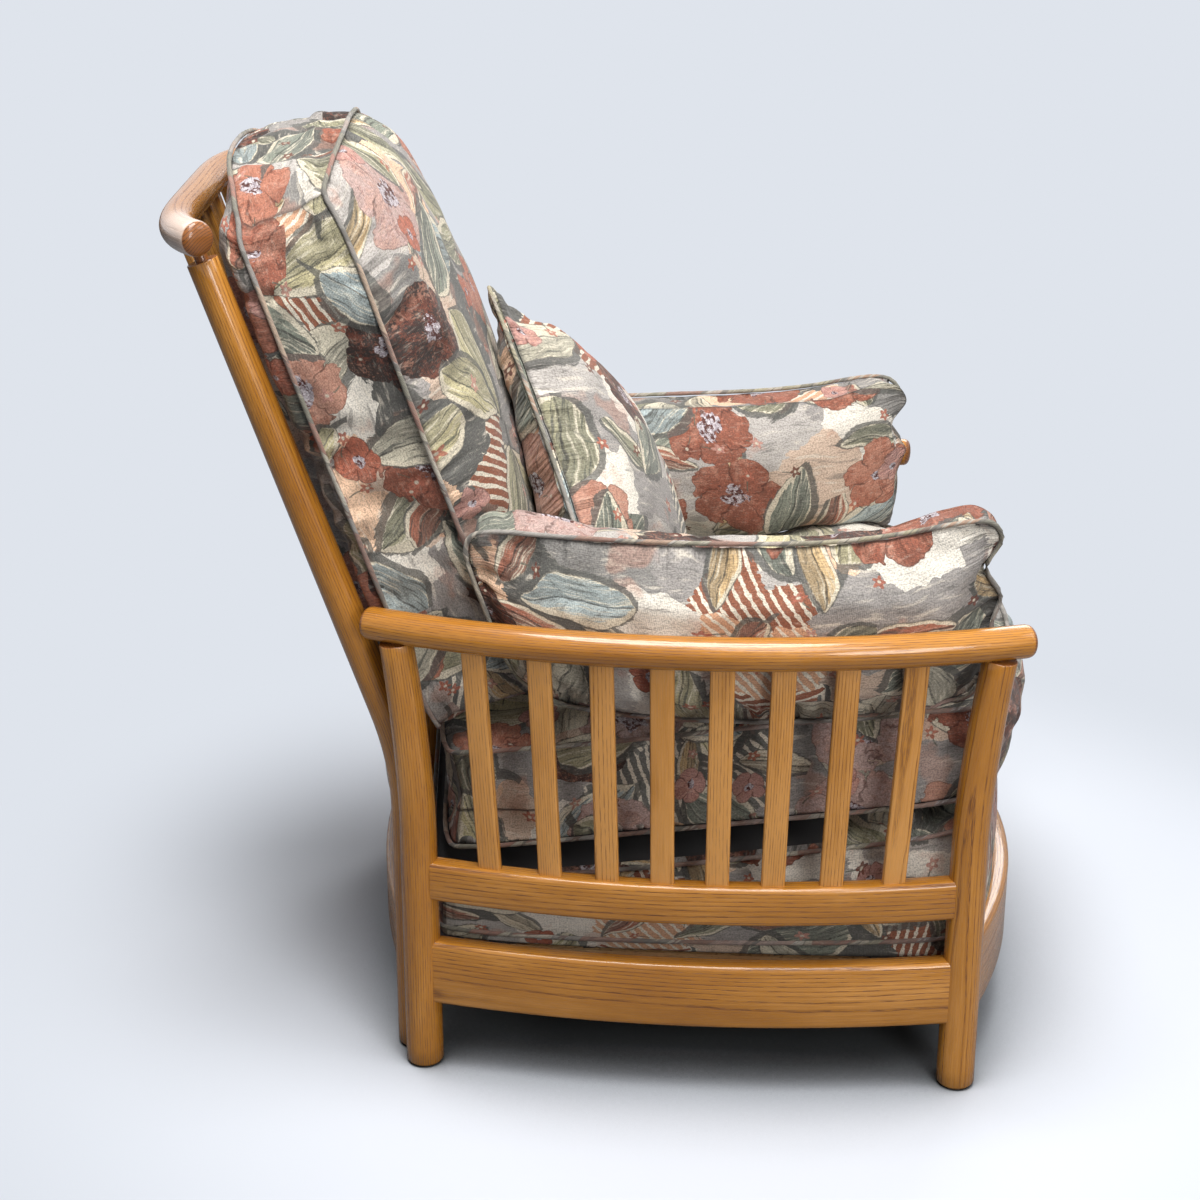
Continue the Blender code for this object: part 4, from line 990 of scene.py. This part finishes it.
def stuff(cushions, frames=20):
    """Fills the covers: each cloth swells between its seams, a little too large, so that it puckers.

    cushions holds the piece, its pressure, its slack, how far a point may move and what is held.
    """
    scene = bpy.context.scene
    starts = []
    for piece, pressure, slack, _, held in cushions:
        starts.append([v.co.copy() for v in piece.data.vertices])
        group = piece.vertex_groups.new(name="held")
        for i, place in enumerate(made_at(piece)):
            weight = held(*place)
            if weight > 0:
                group.add([i], weight, "REPLACE")
        cloth = piece.modifiers.new("stuffing", "CLOTH")
        for key, value in CLOTH_WEIGHT.items():
            setattr(cloth.settings, key, value)
        cloth.settings.uniform_pressure_force = pressure
        cloth.settings.shrink_min = -slack
        cloth.settings.effector_weights.gravity = 0.0
        cloth.collision_settings.use_collision = False
        cloth.point_cache.frame_start = 1
        cloth.point_cache.frame_end = frames
    scene.frame_start, scene.frame_end = 1, frames
    for number in range(1, frames + 1):
        scene.frame_set(number)
    swollen = []
    view = bpy.context.evaluated_depsgraph_get()
    for piece, *_ in cushions:
        shown = piece.evaluated_get(view)
        mesh = shown.to_mesh()
        swollen.append([v.co.copy() for v in mesh.vertices])
        shown.to_mesh_clear()
    for (piece, _, _, cap, _), start, end in zip(cushions, starts, swollen):
        piece.modifiers.clear()
        piece.vertex_groups.clear()
        for vert, before, after in zip(piece.data.vertices, start, end):
            move = after - before
            far = move.length
            if far > cap * 0.6:
                over = far - cap * 0.6
                move *= (cap * 0.6 + cap * 0.4 * over / (over + cap * 0.4)) / far
            vert.co = before + move
    scene.frame_set(1)


def settle(piece, *neighbours, limit=Vector):
    """Presses a cushion clear of its neighbours and of any flat limit."""
    trees = []
    for mesh in (other.data for other in neighbours):
        trees.append(BVHTree.FromPolygons([v.co for v in mesh.vertices], [p.vertices for p in mesh.polygons]))
    for vert in piece.data.vertices:
        vert.co = limit(vert.co)
        for tree in trees:
            place, normal, *_ = tree.find_nearest(vert.co, 0.09)
            if place is not None and (vert.co - place).dot(normal) < CLOTH_GAP:
                vert.co = place + normal * CLOTH_GAP
        vert.co = limit(vert.co)


def eased(piece):
    """Irons out a cover's smallest creases."""
    shape = bmesh.new()
    shape.from_mesh(piece.data)
    made = shape.verts.layers.float_vector["made_at"]
    free = [v for v in shape.verts if sum(abs(abs(c) - 1) < 1e-4 for c in v[made]) < 2]
    bmesh.ops.smooth_vert(shape, verts=free, factor=0.35, **ALL_WAYS)
    shape.to_mesh(piece.data)
    shape.free()


def finely(piece):
    """Gives a cover a finer mesh, for its gathers."""
    smooth = piece.modifiers.new("soft", "SUBSURF")
    smooth.levels = smooth.render_levels = 1
    view = bpy.context.evaluated_depsgraph_get()
    mesh = bpy.data.meshes.new_from_object(piece.evaluated_get(view), preserve_all_data_layers=True, depsgraph=view)
    piece.modifiers.clear()
    coarse, piece.data = piece.data, mesh
    bpy.data.meshes.remove(coarse)
    mesh.name = piece.name


def gathered(piece, cloth, depth, levels, reach, seed, slack):
    """Puckers a cover along its seams, with slack creases between them."""
    width, height, thick = (s / 2 for s in cloth)
    verts = piece.data.vertices
    normals = [v.normal.copy() for v in verts]
    for vert, (a, b, c), normal in zip(verts, made_at(piece), normals):
        level = min(levels, key=lambda seam: abs(c - seam))
        rise = abs(c - level) * thick
        sink = 0.0
        for beside, run, side in (((1 - abs(a)) * width, b * height, a), ((1 - abs(b)) * height, a * width, b + 5)):
            far = math.hypot(beside, rise)
            if far < reach:
                place = Vector((run / 0.020, far * 9 + level, math.copysign(3.0, side) + seed + (side > 3)))
                fold = plus(noise.noise(place) + 0.10)
                often = 0.55 + 0.9 * noise.noise(Vector((run * 11, level * 3.0, seed + side)))
                sink += fold * max(0.15, often) * min(1.0, far / 0.005) * (1 - far / reach) ** 1.2
        loose = noise.noise(Vector((a * width * 26, b * height * 17, c * thick * 30 + seed)))
        calm = min(1.0, 14 * plus(1 - sorted((abs(a), abs(b), abs(c)))[1]))
        vert.co -= normal * (depth * sink + slack * calm * (loose + 0.35))


def seam_loop(piece, level):
    """The places round a cover's seam, in order, with the way out of the cushion at each."""
    points = []
    for i, (a, b, c) in enumerate(made_at(piece)):
        if abs(c - level) < 1e-4 and max(abs(a), abs(b)) > 0.9999:
            if abs(b + 1) < 1e-4:
                key = a + 1
            elif abs(a - 1) < 1e-4:
                key = 2 + b + 1
            elif abs(b - 1) < 1e-4:
                key = 4 + 1 - a
            else:
                key = 6 + 1 - b
            points.append((key % 8, i))
    points.sort()
    verts = piece.data.vertices
    return [verts[i].co.copy() for _, i in points], [verts[i].normal.copy() for _, i in points]


def piping(name, piece, level, radius=PIPING_R, out=0.0016):
    """A corded edge sewn into a seam, from a straight cord laid round it and joined to itself."""
    places, normals = seam_loop(piece, level)
    places = [p + n * out for p, n in zip(places, normals)]
    count = len(places)
    smooth = [(places[i - 1] + places[i] * 2 + places[(i + 1) % count]) / 4 for i in range(count)]
    lengths = [0.0]
    for i in range(count):
        lengths.append(lengths[-1] + (smooth[(i + 1) % count] - smooth[i]).length)
    shape = rod(10, count - 1, False)
    cloth = shape.loops.layers.uv.new("cloth")
    for face in shape.faces:
        turns = [math.atan2(loop.vert.co.y, loop.vert.co.x) % math.tau for loop in face.loops]
        wraps = max(turns) - min(turns) > math.pi
        for loop, turn in zip(face.loops, turns):
            if wraps and turn < math.pi:
                turn += math.tau
            far = lengths[round((loop.vert.co.z + 0.5) * count)]
            loop[cloth].uv = (far + turn * radius + 0.3, turn * radius + far * 0.35)
    for vert in shape.verts:
        i = round((vert.co.z + 0.5) * count)
        here = smooth[i % count]
        way = (smooth[(i + 1) % count] - smooth[i - 1 if i < count else i - 1 - count]).normalized()
        across = UP.cross(way)
        across = (across if across.length > 0.2 else Vector((1, 0, 0)).cross(way)).normalized()
        other = way.cross(across)
        wave = 1 + 0.05 * math.sin(i * 1.9) + 0.04 * math.sin(i * 0.73)
        vert.co = here + (across * vert.co.x + other * vert.co.y) * radius * wave
    bmesh.ops.remove_doubles(shape, verts=shape.verts, dist=0.00002)
    stand("piping_" + name, shape, PIPED, (), 0)


def on_seams(*levels):
    """Holds the seams of a cover."""
    return lambda a, b, c: 1.0 if any(abs(c - s) < 1e-3 for s in levels) and max(abs(a), abs(b)) > 0.9999 else 0.0


def above_base(p):
    return Vector((p.x, p.y, max(p.z, seat_low(p.y) + 0.0010)))


def under_seat(p):
    z = min(p.z, seat_low(p.y) - 0.0005)
    if p.y - front_rail_y(p.x) < RAIL_THICK / 2 + 0.001:
        z = max(z, 0.1762)
    return Vector((p.x, p.y, z))


def before_slats(p):
    """Holds the back cushion ahead of the slats, and further ahead before the posts."""
    deep = AHEAD.dot(p - BACK_FOOT)
    share = within((abs(p.x) - 0.205) / 0.02)
    least = 0.0035 + 0.0185 * share * share * (3 - 2 * share)
    return p + AHEAD * (least - deep) if deep < least else p


def inside_arm(side):
    def limit(p):
        u, v = chair_to_arm(side, p)
        most = arm_rail_offset(u) - ARM_RAIL_R - CLOTH_GAP
        return p + (arm_to_chair(side, u, most, 0) - arm_to_chair(side, u, v, 0)) if v > most else p

    return limit


def cushions():
    """The base and the five loose cushions, stuffed, pressed clear of each other and piped."""
    base = sewn("seat_base", rounded(base_place, 0.03), (56, 56, 12), BASE_CLOTH, (-0.875, 4.441), "tapestry_base")
    seat = sewn("seat_cushion", rounded(seat_place, 0.035), (66, 66, 12), SEAT_CLOTH, (5.0, 0.2))
    back = sewn("back_cushion", rounded(back_place, 0.035), (58, 66, 12), BACK_CLOTH, (9.0, 2.6))
    scatter = sewn("scatter_cushion", scatter_place, (44, 44, 2), SCATTER_CLOTH, (2.4, 7.3))
    arms = {}
    for side, word in SIDES:
        form = rounded(arm_place(side), 0.06, 5, 0.13, 13)
        print_at = (1.128, 4.965) if side < 0 else (2.67, 4.04)
        arms[side] = sewn("arm_cushion_" + word, form, (66, 24, 5), ARM_CLOTH, print_at)

    seams = on_seams(-1, 1)

    def arm_held(a, b, c):
        return 0.7 if a < -0.999 and c < 0.99 else on_seams(1)(a, b, c)

    stuff(
        [
            (seat, 2.0, 0.035, 0.014, lambda a, b, c: 1.0 if c < -0.999 else seams(a, b, c)),
            (back, 2.0, 0.045, 0.016, lambda a, b, c: 0.25 if abs(b) > 0.999 and abs(c) < 0.99 else seams(a, b, c)),
            (scatter, 2.5, 0.05, 0.018, on_seams(-1, 0, 1)),
            (arms[-1], 2.5, 0.05, 0.020, arm_held),
            (arms[1], 2.5, 0.05, 0.020, arm_held),
        ]
    )
    settle(base, limit=under_seat)
    base.data.materials.append(LINING_AND_SHADE)
    # Black lining on the base's top; out to the sides at the rear it is painted shade under the seat cushion.
    places = made_at(base)
    for face in base.data.polygons:
        a, b, c = sum((places[i] for i in face.vertices), Vector()) / len(face.vertices)
        if c > 0.99 and abs(a) < (0.97 if b > -0.42 else 0.84):
            face.material_index = 1
    for item in seat.data.attributes.new("zipped", "FLOAT", "POINT").data:
        item.value = 1.0
    for piece in (seat, back, scatter, *arms.values()):
        eased(piece)
    settle(seat, limit=above_base)
    settle(back, seat, limit=before_slats)
    for side, _ in SIDES:
        settle(arms[side], seat, back, limit=inside_arm(side))
    settle(scatter, seat, back, arms[-1], arms[1])

    seams = {"base_top": (base, 1), "base_low": (base, -2 / 3), "seat_top": (seat, 1), "seat_bottom": (seat, -1)}
    seams.update(back_front=(back, 1), back_rear=(back, -1), scatter=(scatter, 0, 0.0024, 0.001))
    seams.update(arm_right=(arms[-1], 1), arm_left=(arms[1], 1))
    for name, seam in seams.items():
        piping(name, *seam)
    covers = (
        (base, BASE_CLOTH, 0.003, (-1, 1), 0.030),
        (seat, SEAT_CLOTH, 0.016, (-1, 1), 0.050),
        (back, BACK_CLOTH, 0.026, (-1, 1), 0.065),
        (scatter, SCATTER_CLOTH, 0.018, (0,), 0.070),
        (arms[-1], ARM_CLOTH, 0.026, (1,), 0.060),
        (arms[1], ARM_CLOTH, 0.026, (1,), 0.060),
    )
    for number, (piece, *how) in enumerate(covers):
        finely(piece)
        gathered(piece, *how, number * 7.3, 0.0 if piece is base else 0.0034)


# Camera, floor and light


BACKDROP = rgb(223, 228, 236)
# the floor's two tones, and the colour of the painted shadow under the chair
FLOOR_LOW, FLOOR_HIGH, FLOOR_PAINTED_SHADE = (0.536, 0.562, 0.610), (0.543, 0.569, 0.618), (0.06, 0.066, 0.07)
WHITE, WARM = (1.0, 1.0, 1.0), (1.0, 0.992, 0.98)
# Each lamp's place, the height it is aimed at, its width, its power in watts and its colour
LAMPS = {
    "top_light": ((-0.7, 0.15, 3.7), 0.3, 2.0, 160, WARM),
    "side_light": ((-2.4, -0.5, 3.3), 0.4, 1.6, 38, WARM),
    "fill_light": ((-3.0, -1.3, 1.5), 0.3, 1.2, 38, WARM),
    "front_light": ((-0.9, -2.6, 2.6), 0.5, 1.6, 22, WARM),
    "rear_light": ((1.2, 1.8, 3.0), 0.4, 1.8, 14, WHITE),
    "left_light": ((2.3, -1.3, 2.1), 0.35, 1.4, 30, WARM),
}


def camera():
    """The photograph's camera: 20 degrees down, 2.5 degrees off the side view."""
    pitch = math.radians(20)
    turn = math.atan(100 / (2120 / math.cos(pitch)))
    ahead = Vector((math.cos(pitch) * math.cos(turn), -math.cos(pitch) * math.sin(turn), -math.sin(pitch)))
    right = ahead.cross(UP).normalized()
    lens = bpy.data.cameras.new("camera")
    lens.lens, lens.sensor_width = 63.6, 36
    pose = Matrix((right, right.cross(ahead), -ahead)).transposed().to_4x4()
    pose.translation = (-2.404, 0.1226, 1.331)
    bpy.context.scene.camera = linked("camera", lens)
    bpy.context.scene.camera.matrix_world = pose


def lamps():
    for name, (place, aim, size, power, colour) in LAMPS.items():
        light = bpy.data.lights.new(name, "AREA")
        light.shape, light.size, light.energy, light.color = "DISK", size, power, colour
        piece = linked(name, light)
        piece.location = place
        piece.rotation_euler = (Vector((0, 0, aim)) - piece.location).to_track_quat("-Z", "Y").to_euler()


def floor():
    """A pale floor that keeps the chair's shadow and fades into the backdrop; painted shade darkens it where the chair
    shuts out the sky, and it is darker to bounced light than to the camera.
    """
    shape = bmesh.new()
    bmesh.ops.create_circle(shape, cap_ends=True, segments=64, radius=14)
    f = Finish("pale_floor")
    place = f.place()
    cloud = f.noise(place, 3.0)
    seen = f.add("LightPath")
    pale = f.mix(cloud, FLOOR_LOW, FLOOR_HIGH)
    # painted shadow: the floor's colour darkens where the chair shuts out the sky above it
    open_sky = f.add("AmbientOcclusion", {"samples": 16}, {"Distance": 0.28}, 1)
    pale = f.mix(open_sky.ease(0.20, 0.85), FLOOR_PAINTED_SHADE, pale)
    matt = f.add("BsdfDiffuse", None, {"Color": f.mix(seen, f.mix(0.6, pale, (0.05, 0.05, 0.05)), pale)})
    far = f.vector("ADD", place, (0.0, 0.15, 0.0))
    far = f.add("VectorMath", {"operation": "LENGTH"}, {0: far}, 1).ease(0.60, 1.10)
    shown = f.add("Emission", None, {"Color": (*BACKDROP, 1.0), "Strength": 1.0})
    both = f.add("MixShader", None, {0: seen * far, 1: matt, 2: shown})
    f.add("OutputMaterial", None, {"Surface": both})
    piece = linked("floor", mesh_of("floor", shape))
    piece.data.materials.append(f.made)
    piece.location.z = -0.0005


def world():
    """A dim room that is seen, also in reflections, as the pale backdrop."""
    f = Finish("studio", "worlds")
    seen = f.add("LightPath")
    glossy, through = f.other("Is Glossy Ray"), f.other("Is Transmission Ray")
    light = f.add("Background", None, {"Color": (*rgb(236, 240, 248), 1.0), "Strength": 0.10})
    backdrop = f.add("Background", None, {"Color": (*BACKDROP, 1.0)})
    both = f.add("MixShader", None, {0: seen.most(glossy).most(through), 1: light, 2: backdrop})
    f.add("OutputWorld", None, {0: both})
    bpy.context.scene.world = f.made


ASH = golden_ash()
TAPESTRY = tapestry("floral_tapestry_cloth")
PIPED = tapestry("floral_tapestry_piping", 0.55)
LINING_AND_SHADE = lining_and_shade()

camera()
floor()
world()
lamps()
arm_frames()
back_frame()
cushions()

# Pieces that stay as the frame has them, in a finish of their own
OWN_FINISH = {"seat_bearer": plain_beech(), "seat_strap": black_webbing(), "post_bolt": zinc_plated_steel()}
for node, piece in frame["nodes"].items():
    for start, finish in OWN_FINISH.items():
        if node.startswith(start):
            for slot in piece.material_slots:
                slot.material = finish

bpy.context.scene.view_settings.view_transform = "Standard"
bpy.context.view_layer.update()
